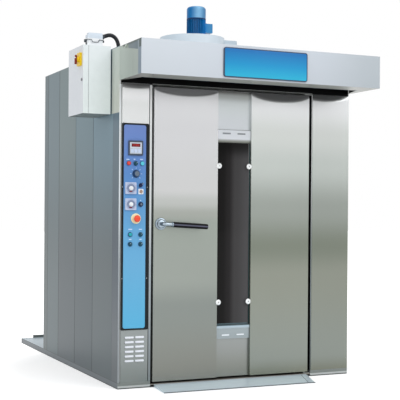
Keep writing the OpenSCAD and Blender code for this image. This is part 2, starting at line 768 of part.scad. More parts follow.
module switch_box_lid() color("whitesmoke") from_corner() {
    wall = 2;
    difference() {
        cassette([lid_x0, box_y0, box_z0], [lid_x1, box_y1, box_z1],
            [lid_x0 + wall, box_y0 + wall, box_z0 + wall], [lid_x1 + over, box_y1 - wall, box_z1 - wall]);
        on_left(lid_x0 + wall + over, lock_y, lock_z) cylinder(h = wall + 2 * over, r = 7 + running_gap);
        on_left(lid_x0 + wall + over, isolator_y, isolator_z) cylinder(h = wall + 2 * over, r = 9);
    }
    // hinge pins on short arms
    for (z = [box_z0 + 60, box_z1 - 90]) {
        translate([lid_pin_x, lid_pin_y, z - 12]) cylinder(h = 48, r = lid_pin_r);
        for (dz = [-12, 25]) {
            translate([lid_pin_x, lid_pin_y, z + dz]) cylinder(h = 11, r = 6);
            block([lid_pin_x - 6, box_y1 - wall, z + dz], [lid_pin_x + 1, lid_pin_y, z + dz + 11]);
        }
    }
}

module lid_lock() color("silver") from_corner() on_left(lid_x0, lock_y, lock_z) {
    cylinder(h = 4, r = 10);
    translate([0, 0, -14]) cylinder(h = 14, r = 7);
    translate([-8, -4, -18]) cube([16, 8, 4]);
}

module isolator_base() color("gold") from_corner() on_left(lid_x0, isolator_y, isolator_z) difference() {
    linear_extrude(14) rounded_rect(66, 84, 6);
    translate([0, 0, -over]) cylinder(h = 16, r = 6 + running_gap);
}

module isolator_handle() color("darkred") from_corner() on_left(lid_x0, isolator_y, isolator_z) {
    translate([0, 0, 14.4]) cylinder(h = 10, r = 24);
    translate([-7, -28, 24.4]) cube([14, 56, 14]);
    translate([0, 0, -30]) cylinder(h = 44.4, r = 6);
}

plug_d = 44;
lever_z = box_z1 + 26;
stud_r = 4;

module connector_base() color("lightgray") from_corner() {
    rim = 4;
    block([plug_x0 - rim, plug_y - plug_d / 2 - rim, box_z1],
        [plug_x1 + rim, plug_y + plug_d / 2 + rim, box_z1 + 6]);
    block([plug_x0, plug_y - plug_d / 2, box_z1 + 6], [plug_x1, plug_y + plug_d / 2, plug_split_z]);
    // studs that carry the locking lever
    translate([plug_x0 - 7, plug_y, lever_z]) rotate([0, 90, 0]) cylinder(h = 8, r = stud_r);
    translate([plug_x1 - 1, plug_y, lever_z]) rotate([0, 90, 0]) cylinder(h = 8, r = stud_r);
}

module connector_hood() color("whitesmoke") from_corner() {
    step_z = 2276;
    block([plug_x0, plug_y - plug_d / 2, plug_split_z], [plug_x1, plug_y + plug_d / 2, step_z]);
    block([plug_x0 + 8, plug_y - plug_d / 2 + 4, step_z], [plug_x1, plug_y + plug_d / 2 - 4, plug_top_z]);
}

// Locking lever: an arm at each end of the plug and a bar across its front
module connector_lever() color("dimgray") from_corner() {
    arm_t = 3;
    arm_w = 14;
    bar_y = plug_y - plug_d / 2 - 8;
    bar_z = lever_z + 18;
    for (x = [plug_x0 - 2 - arm_t, plug_x1 + 2]) difference() {
        union() {
            block([x, plug_y - arm_w / 2, lever_z - arm_w / 2],
                [x + arm_t, plug_y + arm_w / 2, lever_z + 30]);
            block([x, bar_y, bar_z - 3], [x + arm_t, plug_y, bar_z + 9]);
        }
        translate([x - over, plug_y, lever_z]) rotate([0, 90, 0])
            cylinder(h = arm_t + 2 * over, r = stud_r + running_gap);
    }
    block([plug_x0 - 2 - arm_t, bar_y, bar_z - 3], [plug_x1 + 2 + arm_t, bar_y + 4, bar_z + 9]);
}

// Direction of the conduit at a point of its route
function route_step(i) = conduit_route[min(i + 1, len(conduit_route) - 1)] - conduit_route[max(i - 1, 0)];

// One ring of points round the conduit
function ring(i, d) = [for (k = [0:conduit_sides - 1])
    let (a = 360 * k / conduit_sides)
    [conduit_route[i][0] - d[1] * conduit_r * cos(a), plug_y + conduit_r * sin(a),
        conduit_route[i][1] + d[0] * conduit_r * cos(a)]];

module cable_conduit() color("black") from_corner() {
    n = len(conduit_route);
    s = conduit_sides;
    // the end rings lie square to the plug and to the roof
    ends = [[1, 0], [0, -1]];
    rings = [for (i = [0:n - 1]) ring(i, i == 0 ? ends[0] : i == n - 1 ? ends[1]
        : route_step(i) / norm(route_step(i)))];
    points = [for (r = rings) each r];
    sides = [for (i = [0:n - 2], k = [0:s - 1])
        let (a = i * s + k, b = i * s + (k + 1) % s)
        each [[a, a + s, b], [b, a + s, b + s]]];
    first = [for (k = [1:s - 2]) [0, k, k + 1]];
    last = [for (k = [1:s - 2]) [(n - 1) * s, (n - 1) * s + k + 1, (n - 1) * s + k]];
    polyhedron(points, concat(sides, first, last));
}

module drive_housing() color("lightsteelblue") from_corner() {
    lid_t = 6;
    drum_x = axis_x - drum_shift;
    drum_h = drum_top - roof_z;
    gap = 1;
    difference() {
        translate([drum_x, axis_y, roof_z]) difference() {
            cylinder(h = drum_h, r = drum_r, $fn = 96);
            translate([0, 0, lid_t]) cylinder(h = drum_h - 2 * lid_t, r = drum_r - 5, $fn = 96);
        }
        translate([axis_x, axis_y, roof_z - over]) cylinder(h = lid_t + 2 * over, r = 34);
        translate([axis_x, axis_y, drum_top - lid_t - over]) cylinder(h = lid_t + 2 * over, r = 30);
    }
    // belt and terminal box beside the drum
    difference() {
        translate([axis_x + 184, axis_y, roof_z]) linear_extrude(drum_h - 4) rounded_rect(228, 160, 24);
        translate([drum_x, axis_y, roof_z - over]) cylinder(h = drum_top, r = drum_r + gap, $fn = 96);
    }
}

module drive_motor() color("steelblue") from_corner() translate([axis_x, axis_y, drum_top]) {
    flange_h = 10;
    core_r = motor_r - 9;
    body_h = motor_top - drum_top;
    box_h = 66;
    difference() {
        union() {
            cylinder(h = flange_h, r = motor_r + 11);
            cylinder(h = body_h, r = core_r);
            for (i = [0:motor_fins - 1]) rotate(i * 360 / motor_fins)
                translate([core_r - 2, -1.5, flange_h + 4])
                    cube([motor_r - core_r + 2, 3, body_h - flange_h - 8]);
            translate([core_r - 6, -36, 46]) cube([terminal_reach - core_r + 6, 72, box_h]);
        }
        translate([0, 0, -over]) cylinder(h = 30, r = shaft_r + 4);
    }
}

module motor_cowl() color("lightblue") from_corner() translate([axis_x, axis_y, motor_top]) {
    h = cowl_top - motor_top;
    shoulder = 22;
    wall = 3;
    rotate_extrude($fn = 72) difference() {
        union() {
            square([motor_r, h - shoulder]);
            square([motor_r - shoulder, h]);
            translate([motor_r - shoulder, h - shoulder]) circle(r = shoulder);
        }
        translate([-over, -over]) square([over, h + 2 * over]);
        square([motor_r - wall, h - shoulder]);
        square([18, h + over]);
    }
}

module shaft_bearing() color("darkgray") from_corner()
    translate([axis_x, axis_y, roof_z - roof_t - 32]) difference() {
        union() {
            cylinder(h = 32, r = 42);
            translate([0, 0, 22]) cylinder(h = 10, r = 80);
        }
        translate([0, 0, -over]) cylinder(h = 34, r = shaft_r + running_gap);
    }

module rack_shaft() color("silver") from_corner() translate([axis_x, axis_y, 0]) {
    hook_w = 50;
    bar_t = 14;
    drop = 70;
    translate([0, 0, hook_z]) cylinder(h = drum_top - 14 - hook_z, r = shaft_r);
    translate([0, 0, hook_z]) cylinder(h = 60, r = 38);
    // drive wheel inside the housing
    translate([0, 0, roof_z + 40]) cylinder(h = 24, r = 170);
    // bar with a hook at each end
    translate([-hook_len / 2, -hook_w / 2, hook_z]) cube([hook_len, hook_w, bar_t]);
    for (s = [0, 1]) mirror([s, 0, 0]) {
        translate([hook_len / 2 - bar_t, -hook_w / 2, hook_z - drop]) cube([bar_t, hook_w, drop + bar_t]);
        translate([hook_len / 2 - 60, -hook_w / 2, hook_z - drop]) cube([60, hook_w, 10]);
        translate([hook_len / 2 - 60, -hook_w / 2, hook_z - drop]) cube([8, hook_w, 26]);
    }
}

module door_pivots() color("silver") from_corner() {
    plate = 46;
    washer_t = 7.4;
    pin_low = floor_z + 6;
    // bottom pivot on the sill
    block([hinge_x - 14, 4, floor_z], [jamb_x1 - 2, 4 + plate, pin_low]);
    translate([hinge_x, hinge_y, pin_low]) cylinder(h = washer_t, r = 12);
    translate([hinge_x, hinge_y, pin_low]) cylinder(h = 52, r = hinge_pin_r);
    // top pivot under the soffit
    block([hinge_x - 14, 4, soffit_z - 5], [jamb_x1, 4 + plate, soffit_z]);
    translate([hinge_x, hinge_y, soffit_z - 56]) cylinder(h = 52, r = hinge_pin_r);
}

// Pivot block with its bore, at one end of the door's hinge side
module pivot_block(z0, z1) difference() {
    block([hinge_x - 15, hinge_y - 17, z0], [hinge_x + 14, door_skin_d + over, z1]);
    translate([hinge_x, hinge_y, z0 - over]) cylinder(h = z1 - z0 + 2 * over, r = hinge_pin_r + running_gap);
}

block_h = 60;
spindle_r = 10;
pan_wall = 3;

module door_pan() color("silver") from_corner() difference() {
    rim = 22;
    union() {
        // pan with a box round the window
        cassette([door_x0 + 2, door_skin_d, door_z0], [door_x1 - 2, door_t, door_z1],
            [door_x0 + 2 + pan_wall, door_skin_d - over, door_z0 + pan_wall],
            [door_x1 - 2 - pan_wall, door_t - pan_wall, door_z1 - pan_wall]);
        block([strip_x0 + rim - pan_wall, door_skin_d + 4, glass_z0 + rim - pan_wall],
            [strip_x1 - rim + pan_wall, door_t - pan_wall, glass_z1 - rim + pan_wall]);
        // pivot blocks and their carriers
        for (z = [door_z0, door_z1 - block_h]) pivot_block(z, z + block_h);
        for (z = [door_z0 + pan_wall, door_z1 - block_h])
            block([hinge_x - 15, door_skin_d, z], [hinge_x + 14, door_skin_d + 16, z + block_h - pan_wall]);
    }
    block([strip_x0 + rim, 0, glass_z0 + rim], [strip_x1 - rim, door_t + over, glass_z1 - rim]);
    for (z = [door_z0, door_z1 - block_h]) translate([hinge_x, hinge_y, z - over])
        cylinder(h = block_h + 2 * over, r = hinge_pin_r + running_gap);
}

// Folded front skin of the door between two edges
module door_skin(x0, x1) cassette([x0, 0, door_z0], [x1, door_skin_d, door_z1],
    [x0 + skin, skin, door_z0 + skin], [x1 - skin, door_skin_d + over, door_z1 - skin]);

module door_left_skin() color("silver") from_corner() difference() {
    door_skin(door_x0, strip_x0);
    on_front(handle_x, skin + over, handle_z) cylinder(h = skin + 2 * over, r = spindle_r + running_gap);
}

module door_right_skin() color("silver") from_corner() difference() {
    door_skin(strip_x1, door_x1);
    // room for the pivot blocks
    for (z = [door_z0 - over, door_z1 - block_h - over])
        block([hinge_x - 16, hinge_y - 18, z], [hinge_x + 15, door_skin_d + over, z + block_h + 2 * over]);
}

module door_strip_panels() color("gainsboro") from_corner() {
    edge = hair;
    depth = 2;
    block([strip_x0 + edge, door_skin_d - depth, door_z0 + edge],
        [strip_x1 - edge, door_skin_d, glass_z0 - lower_bracket_h - hair]);
    block([strip_x0 + edge, door_skin_d - depth, glass_z1 + upper_bracket_h + hair],
        [strip_x1 - edge, door_skin_d, door_z1 - edge]);
}

module window_fittings() color("lightgray") from_corner() {
    front = 12;
    slot_w = 60;
    slot_h = 9;
    lip_h = 20;
    ledge_h = 24;
    slot_x = [strip_x0 + 39, strip_x1 - 39 - slot_w];
    upper_z1 = glass_z1 + upper_bracket_h;
    lower_z0 = glass_z0 - lower_bracket_h;
    upper_slot_z = glass_z1 + 56;
    lower_slot_z = lower_z0 + 20;
    // upper bracket with a sloping lip over the glass
    difference() {
        translate([strip_x0 + hair, 0, 0]) rotate([90, 0, 90]) linear_extrude(strip_x1 - strip_x0 - 2 * hair)
            polygon([[door_skin_d, glass_z1], [door_skin_d - 4, glass_z1], [front, glass_z1 + lip_h],
                [front, upper_z1], [door_skin_d, upper_z1]]);
        for (x = slot_x)
            block([x, front - over, upper_slot_z], [x + slot_w, front + 6, upper_slot_z + slot_h]);
    }
    // lower bracket with a ledge under the glass
    difference() {
        union() {
            block([strip_x0 + hair, front, lower_z0], [strip_x1 - hair, door_skin_d, glass_z0 - ledge_h]);
            block([strip_x0 + hair, front - 4, glass_z0 - ledge_h],
                [strip_x1 - hair, door_skin_d, glass_z0 - hair]);
        }
        for (x = slot_x)
            block([x, front - over, lower_slot_z], [x + slot_w, front + 6, lower_slot_z + slot_h]);
    }
    // round buttons that hold the glass
    for (x = [strip_x0 + 10, strip_x1 - 17], z = [glass_z0 + 153, glass_z1 - 155])
        on_front(x, 16 - hair, z) {
            cylinder(h = 17, r = 8);
            translate([0, 0, 16.5]) rotate_extrude()
                polygon([[0, 0], [button_r, 0], [button_r, 1.5], [button_r - 5, 5],
                    [5, 5], [5, 2.5], [0, 2.5]]);
        }
}

module window_glass() color([0.1, 0.12, 0.13, 0.8]) from_corner() {
    block([strip_x0 + 1, 16, glass_z0], [strip_x1 - 1, door_skin_d - hair, glass_z1 - hair]);
    // inner pane
    block([strip_x0 + 23, door_t - 12, glass_z0 + 23], [strip_x1 - 23, door_t - 7, glass_z1 - 23]);
}

module door_gasket() color("dimgray") from_corner() difference() {
    edge = 6;
    width = 14;
    hinge_relief = 1.1;
    block([door_x0 + edge, door_t, door_z0 + edge], [door_x1 - edge, seat_y - hair, door_z1 - edge]);
    block([door_x0 + edge + width, door_t - over, door_z0 + edge + width],
        [door_x1 - edge - width, seat_y + over, door_z1 - edge - width]);
    // lower edge beside the hinge, which swings clear of the seat
    block([hinge_x, seat_y - hinge_relief, door_z0], [door_x1, seat_y + over, door_z1]);
}

// Places a piece of the handle: its Z axis points out of the door, its X axis along the grip
module on_spindle() translate([handle_x, 0, handle_z]) rotate([90, grip_tilt, 0]) children();

module handle_lever() color("silver") from_corner() on_spindle() {
    // boss, spindle and the cam inside the leaf
    translate([0, 0, hair]) cylinder(h = 10, r = boss_r);
    translate([0, 0, 10]) cylinder(h = 12, r = 26);
    translate([0, 0, -44]) cylinder(h = 45, r = spindle_r);
    translate([-42, -9, -44]) cube([52, 18, 10]);
    // neck, elbow and the rod inside the grip
    translate([0, 0, 10]) cylinder(h = grip_out - 10, r = 13);
    translate([0, 0, grip_out]) sphere(r = 13);
    translate([0, 0, grip_out]) rotate([0, 90, 0]) cylinder(h = grip_start, r = 11);
    translate([0, 0, grip_out]) rotate([0, 90, 0]) cylinder(h = grip_end - 20, r = 7);
}

module handle_grip() color("black") from_corner() on_spindle()
    translate([grip_start, 0, grip_out]) rotate([0, 90, 0]) rotate_extrude() difference() {
        length = grip_end - grip_start;
        round = 8;
        union() {
            translate([0, round]) square([grip_r, length - 2 * round]);
            square([grip_r - round, length]);
            for (z = [round, length - round]) translate([grip_r - round, z]) circle(r = round);
        }
        translate([-over, -over]) square([over, length + 2 * over]);
        translate([0, -over]) square([7, length - 19 + over]);
    }

base_frame();
chamber_floor();
entry_ramp();
front_frame();
left_wall_panels();
right_wall_panels();
rear_wall();
roof_panel();
column_cover();
right_column_cover();
chamber_liner();
air_duct_wall();
insulation();
heat_exchanger();
fan_motor();
circulation_fan();
hood_shell();
sign_plate();
control_panel();
panel_housings();
controller();
key_left();
key_middle();
key_right();
red_button();
light_button();
selector_heat();
selector_steam();
selector_fan();
selector_light();
steam_knob();
program_switch();
small_knob();
timer_dial_upper();
timer_dial_lower();
emergency_stop();
switch_box();
switch_box_lid();
lid_lock();
isolator_base();
isolator_handle();
connector_base();
connector_hood();
connector_lever();
cable_conduit();
drive_housing();
drive_motor();
motor_cowl();
shaft_bearing();
rack_shaft();
door_pivots();
door_pan();
door_left_skin();
door_right_skin();
door_strip_panels();
window_fittings();
window_glass();
door_gasket();
handle_lever();
handle_grip();
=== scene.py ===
"""Looks of the rotating rack oven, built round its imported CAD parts.

Lengths in this file are millimetres from the cabinet's front left corner at floor level, as in the
part's source: x to the right, y to the rear, z up. place() turns them into the frame's metres. Colours are
written as 0xRRGGBB, and a finish's stops are pairs of a place and a colour.
"""
import json
import math

import bmesh
import bpy
from mathutils import Matrix, Vector
from mathutils.geometry import tessellate_polygon

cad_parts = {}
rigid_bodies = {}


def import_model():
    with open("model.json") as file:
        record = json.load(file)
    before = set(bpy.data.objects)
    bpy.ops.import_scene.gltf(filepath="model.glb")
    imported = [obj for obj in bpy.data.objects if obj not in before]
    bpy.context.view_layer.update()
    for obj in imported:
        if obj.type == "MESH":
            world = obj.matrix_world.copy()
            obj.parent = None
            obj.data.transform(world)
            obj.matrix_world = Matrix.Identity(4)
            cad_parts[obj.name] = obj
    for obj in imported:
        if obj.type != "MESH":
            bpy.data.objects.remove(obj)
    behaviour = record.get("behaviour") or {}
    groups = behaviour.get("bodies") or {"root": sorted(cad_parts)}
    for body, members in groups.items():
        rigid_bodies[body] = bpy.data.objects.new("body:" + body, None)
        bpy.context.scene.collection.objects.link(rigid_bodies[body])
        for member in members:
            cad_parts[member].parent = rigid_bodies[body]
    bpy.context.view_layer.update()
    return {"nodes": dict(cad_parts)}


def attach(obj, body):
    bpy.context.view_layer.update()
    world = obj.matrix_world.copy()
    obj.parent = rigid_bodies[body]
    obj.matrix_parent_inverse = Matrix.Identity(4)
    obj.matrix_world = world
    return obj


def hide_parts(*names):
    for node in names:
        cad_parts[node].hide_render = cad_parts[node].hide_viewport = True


for stray in list(bpy.data.objects):
    bpy.data.objects.remove(stray)
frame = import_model()
nodes = frame["nodes"]
scene = bpy.context.scene
scene.view_settings.view_transform = "Standard"

X, Y, Z = 0, 1, 2
AXIS_X, AXIS_Y = 809.0, 635.0                   # the rack's shaft, which is the frame's upright axis
ORIGIN = (AXIS_X, AXIS_Y, 0.0)
CABINET_W, CABINET_D, CABINET_H = 1700, 1720, 2172

# where a piece faces, as the directions of its own x, y and z
FRONT = ((1, 0, 0), (0, 0, 1), (0, -1, 0))
LEFT = ((0, -1, 0), (0, 0, 1), (-1, 0, 0))
RIGHT = ((0, 1, 0), (0, 0, 1), (1, 0, 0))
REAR = ((-1, 0, 0), (0, 0, 1), (0, 1, 0))
INWARD = ((1, 0, 0), (0, 0, 1), (0, 1, 0))
TOP = ((1, 0, 0), (0, 1, 0), (0, 0, 1))
DOWN = ((1, 0, 0), (0, -1, 0), (0, 0, -1))


def spot(x, y, z):
    """A point of the cabinet's own millimetres, in the frame's metres."""
    return Vector(((x - AXIS_X) / 1000, (y - AXIS_Y) / 1000, z / 1000))


def place(x, y, z, facing=TOP, turn=0.0):
    """Matrix that puts a piece drawn in millimetres at a point, with its z along a facing."""
    axes = Matrix(facing).transposed().to_4x4()
    return (Matrix.Translation(spot(x, y, z)) @ axes @ Matrix.Rotation(math.radians(turn), 4, "Z")
        @ Matrix.Scale(0.001, 4))


# ---- camera, world, lamps, floor

LENS = 91.92                                    # mm, on a sensor 36 mm wide
SHIFT_UP = 0.0209
STAND = (-2.997, -6.723, 1.1482)                # metres, in the frame
YAW, ROLL = -0.4244, 0.0075                     # radians


def make_camera():
    """Camera at the photograph's viewing angle."""
    up = Vector((0, 0, 1))
    ahead = Vector((-math.sin(YAW), math.cos(YAW), 0))
    across = Vector((math.cos(YAW), math.sin(YAW), 0))
    own_x = across * math.cos(ROLL) + up * math.sin(ROLL)
    own_y = up * math.cos(ROLL) - across * math.sin(ROLL)
    data = bpy.data.cameras.new("camera")
    data.sensor_width = 36.0
    data.lens = LENS
    data.shift_y = SHIFT_UP
    data.clip_end = 100.0
    camera = bpy.data.objects.new("camera", data)
    scene.collection.objects.link(camera)
    pose = Matrix((own_x, own_y, -ahead)).transposed().to_4x4()
    pose.translation = Vector(STAND)
    camera.matrix_world = pose
    scene.camera = camera


make_camera()


def channels(colour, factor=1.0):
    """Red, green and blue of a colour written as 0xRRGGBB, each times a factor."""
    return [(colour >> shift & 255) * factor for shift in (16, 8, 0)]


def lin(colour):
    """Linear colour of one written as 0xRRGGBB or as a list of its channels."""
    return [c / 12.92 if c <= 0.04045 else ((c + 0.055) / 1.055) ** 2.4
        for c in (v / 255 for v in (colour if isinstance(colour, list) else channels(colour)))] + [1.0]


def add_node(tree, kind, values=(), **settings):
    """Adds a shader node, with sockets set to values or linked to outputs."""
    node = tree.nodes.new("ShaderNode" + kind)
    for key, value in settings.items():
        setattr(node, key, value)
    for socket, value in values:
        if isinstance(value, bpy.types.NodeSocket):
            tree.links.new(value, node.inputs[socket])
        else:
            node.inputs[socket].default_value = value
    return node


class Finish:
    """A procedural material and the nodes that its recipe needs."""

    def __init__(self, name, rough=0.5, metal=0.0, coat=0.0, coat_rough=0.1, specular=0.2, clear=0.0):
        self.material = bpy.data.materials.new(name)
        self.material.use_nodes = True
        self.tree = self.material.node_tree
        self.shader = self.tree.nodes["Principled BSDF"]
        for socket, value in (("Roughness", rough), ("Metallic", metal), ("Coat Weight", coat),
                ("Coat Roughness", coat_rough), ("Specular IOR Level", specular),
                ("Transmission Weight", clear)):
            self.shader.inputs[socket].default_value = value
        self.coords = self.add("TexCoord").outputs["Object"]
        self.axes = self.add("SeparateXYZ", [(0, self.coords)]).outputs
        self.normal = None

    def add(self, kind, values=(), **settings):
        return add_node(self.tree, kind, values, **settings)

    def math(self, operation, a, b=0.0, c=0.0):
        return self.add("Math", [(0, a), (1, b), (2, c)], operation=operation).outputs[0]

    def times(self, first, *others):
        """Product of several values."""
        for other in others:
            first = self.math("MULTIPLY", first, other)
        return first

    def most(self, first, *others):
        """The largest of several values."""
        for other in others:
            first = self.math("MAXIMUM", first, other)
        return first

    def span(self, value, low, high, out_low=0.0, out_high=1.0, kind="LINEAR"):
        """Maps low..high to out_low..out_high."""
        return self.add("MapRange", [(0, value), (1, low), (2, high), (3, out_low), (4, out_high)],
            interpolation_type=kind).outputs[0]

    def noise(self, scale, stretch=(1, 1, 1), detail=2.0):
        mapped = self.add("Mapping", [(0, self.coords), ("Scale", stretch)]).outputs[0]
        return self.add("TexNoise", [(0, mapped), ("Scale", scale), ("Detail", detail)]).outputs[0]

    def vary(self, scale, low, high, detail=2.0, stretch=(1, 1, 1)):
        """Value that drifts between two others with a noise."""
        return self.span(self.noise(scale, stretch, detail), 0.3, 0.7, low, high)

    def mottle(self, scale, low, high, detail=2.0):
        """Colour that drifts between two others with a noise."""
        return self.ramp(self.noise(scale, detail=detail), [(0.3, low), (0.7, high)])

    def ramp(self, value, stops, kind="EASE"):
        """Colour ramp; its stops' places run from 0 to 1."""
        node = self.add("ValToRGB", [(0, value)])
        node.color_ramp.interpolation = kind
        elements = node.color_ramp.elements
        while len(elements) < len(stops):
            elements.new(0.5)
        for element, (at, colour) in zip(elements, stops):
            element.position = at
            element.color = lin(colour)
        return node.outputs[0]

    def along(self, axis, low, high, stops, kind="EASE"):
        """Colour ramp along an axis; low, high and the stops' places are in millimetres."""
        value = self.span(self.axes[axis], (low - ORIGIN[axis]) / 1000, (high - ORIGIN[axis]) / 1000)
        return self.ramp(value, [((at - low) / (high - low), colour) for at, colour in stops], kind)

    def beyond(self, axis, limit, blur=0.4):
        """1 past a limit along an axis, 0 before it."""
        edge = (limit - ORIGIN[axis]) / 1000
        return self.span(self.axes[axis], edge - blur / 1000, edge + blur / 1000)

    def off(self, axis, middle):
        """Distance along an axis from a place on it, in metres."""
        return self.math("ABSOLUTE", self.math("SUBTRACT", self.axes[axis], (middle - ORIGIN[axis]) / 1000))

    def tilt(self, axis):
        """The surface normal's part along an axis."""
        return self.add("SeparateXYZ", [(0, self.add("NewGeometry").outputs["Normal"])]).outputs[axis]

    def facing(self, axis):
        """1 on faces that look to the left, the front or down, by the axis."""
        return self.span(self.tilt(axis), -0.6, -0.8)

    def mix(self, share, a, b):
        return self.add("Mix", [(0, share), (6, a), (7, b)], data_type="RGBA").outputs[2]

    def scaled(self, colour, *factors):
        for factor in factors:
            colour = self.add("VectorMath", [(0, colour), (3, factor)], operation="SCALE").outputs[0]
        return colour

    def paint(self, colour, *factors):
        """Links a colour, times factors, to the shader."""
        self.tree.links.new(self.scaled(colour, *factors), self.shader.inputs["Base Color"])
        return self

    def rub(self, value):
        self.tree.links.new(value, self.shader.inputs["Roughness"])
        return self

    def bump(self, height, strength, distance):
        values = [("Strength", strength), ("Distance", distance), ("Height", height)]
        if self.normal is not None:
            values.append(("Normal", self.normal))
        self.normal = self.add("Bump", values).outputs[0]
        self.tree.links.new(self.normal, self.shader.inputs["Normal"])
        return self


def make_world():
    """Pale world that the camera, gloss and glass see as white."""
    world = bpy.data.worlds.new("studio")
    scene.world = world
    world.use_nodes = True
    tree = world.node_tree
    tree.nodes.clear()
    rays = add_node(tree, "LightPath").outputs
    shown = rays["Is Camera Ray"]
    for ray in ("Is Glossy Ray", "Is Transmission Ray"):
        shown = add_node(tree, "Math", [(0, shown), (1, rays[ray])], operation="MAXIMUM").outputs[0]
    level = add_node(tree, "MapRange", [("Value", shown), ("To Min", 0.55), ("To Max", 1.0)]).outputs[0]
    back = add_node(tree, "Background", [("Color", (1, 1, 1, 1)), ("Strength", level)]).outputs[0]
    add_node(tree, "OutputWorld", [(0, back)])


def sun(name, strength, spread, towards):
    """A wide soft lamp that shines along a direction."""
    data = bpy.data.lights.new(name, "SUN")
    data.energy = strength
    data.angle = math.radians(spread)
    lamp = bpy.data.objects.new(name, data)
    lamp.rotation_mode = "QUATERNION"
    lamp.rotation_quaternion = Vector(towards).to_track_quat("-Z", "Y")
    scene.collection.objects.link(lamp)


make_world()
sun("key", 1.0, 50, (-0.45, 0.75, -0.62))
sun("top", 0.45, 70, (0.1, 0.25, -1.0))
sun("fill", 0.75, 80, (0.62, 0.72, -0.3))


def make_floor():
    """Pale floor that keeps the shadow near the oven and runs out into white."""
    half, level, white_from, white_past = 40.0, -0.0008, 1.15, 2.0
    mesh = bpy.data.meshes.new("floor")
    mesh.from_pydata([(x, y, level) for x, y in ((-half, -half), (half, -half), (half, half),
        (-half, half))], [], [(0, 1, 2, 3)])
    floor = bpy.data.objects.new("floor", mesh)
    scene.collection.objects.link(floor)
    look = Finish("floor_white", rough=0.6, specular=0.0)
    look.paint(look.mottle(1.5, 0xEEEFF0, 0xF1F1F1), look.vary(60.0, 0.985, 1.0))
    rays = look.add("LightPath").outputs
    seen = look.most(*(rays[ray] for ray in ("Is Camera Ray", "Is Glossy Ray", "Is Transmission Ray")))
    away = look.add("VectorMath", [(0, look.coords)], operation="LENGTH").outputs["Value"]
    far = look.span(away, white_from, white_past, kind="SMOOTHSTEP")
    white = look.add("Emission", [("Color", (1, 1, 1, 1)), ("Strength", 1.0)])
    blend = look.add("MixShader", [(0, look.times(seen, far)), (1, look.shader.outputs[0]),
        (2, white.outputs[0])])
    lift = look.add("Emission", [("Color", (1, 1, 1, 1)), ("Strength", look.times(seen, 0.4))])
    total = look.add("AddShader", [(0, blend.outputs[0]), (1, lift.outputs[0])])
    look.tree.links.new(total.outputs[0], look.tree.nodes["Material Output"].inputs[0])
    mesh.materials.append(look.material)


make_floor()

# ---- shapes


def rounded(w, h, r, cx=0.0, cy=0.0, steps=5):
    """Outline of a rectangle with rounded corners, about a centre."""
    points = []
    for k, (sx, sy) in enumerate(((1, 1), (-1, 1), (-1, -1), (1, -1))):
        for i in range(steps + 1):
            a = math.radians(90 * (k + i / steps))
            points.append((cx + sx * (w / 2 - r) + r * math.cos(a),
                cy + sy * (h / 2 - r) + r * math.sin(a)))
    return points


def disc(r, cx=0.0, cy=0.0, steps=32):
    return [(cx + r * math.cos(2 * math.pi * i / steps), cy + r * math.sin(2 * math.pi * i / steps))
        for i in range(steps)]


def inset(outline, by):
    """The outline moved towards its left-hand side."""
    out = []
    n = len(outline)
    for i in range(n):
        a, b, c = (Vector(outline[(i + k) % n]) for k in (-1, 0, 1))
        d0, d1 = (b - a).normalized(), (c - b).normalized()
        n0, n1 = Vector((-d0.y, d0.x)), Vector((-d1.y, d1.x))
        out.append(b + (n0 + n1) * (by / max(0.3, 1 + n0.dot(n1))))
    return out


SHARP = math.radians(38)                        # edges that bend more than this stay sharp


def bridge(rings, closed=False):
    """Faces between rings of points, which are given by their numbers."""
    faces = []
    for low, high in list(zip(rings, rings[1:])) + ([(rings[-1], rings[0])] if closed else []):
        for i in range(len(low)):
            j = (i + 1) % len(low)
            face = [low[i], low[j], high[j], high[i]]
            face = [v for k, v in enumerate(face) if v not in face[:k]]
            if len(face) > 2:
                faces.append(face)
    return faces


def numbered(start, size, count):
    """Numbers of the points of several rings of one size."""
    return [range(start + k * size, start + (k + 1) * size) for k in range(count)]


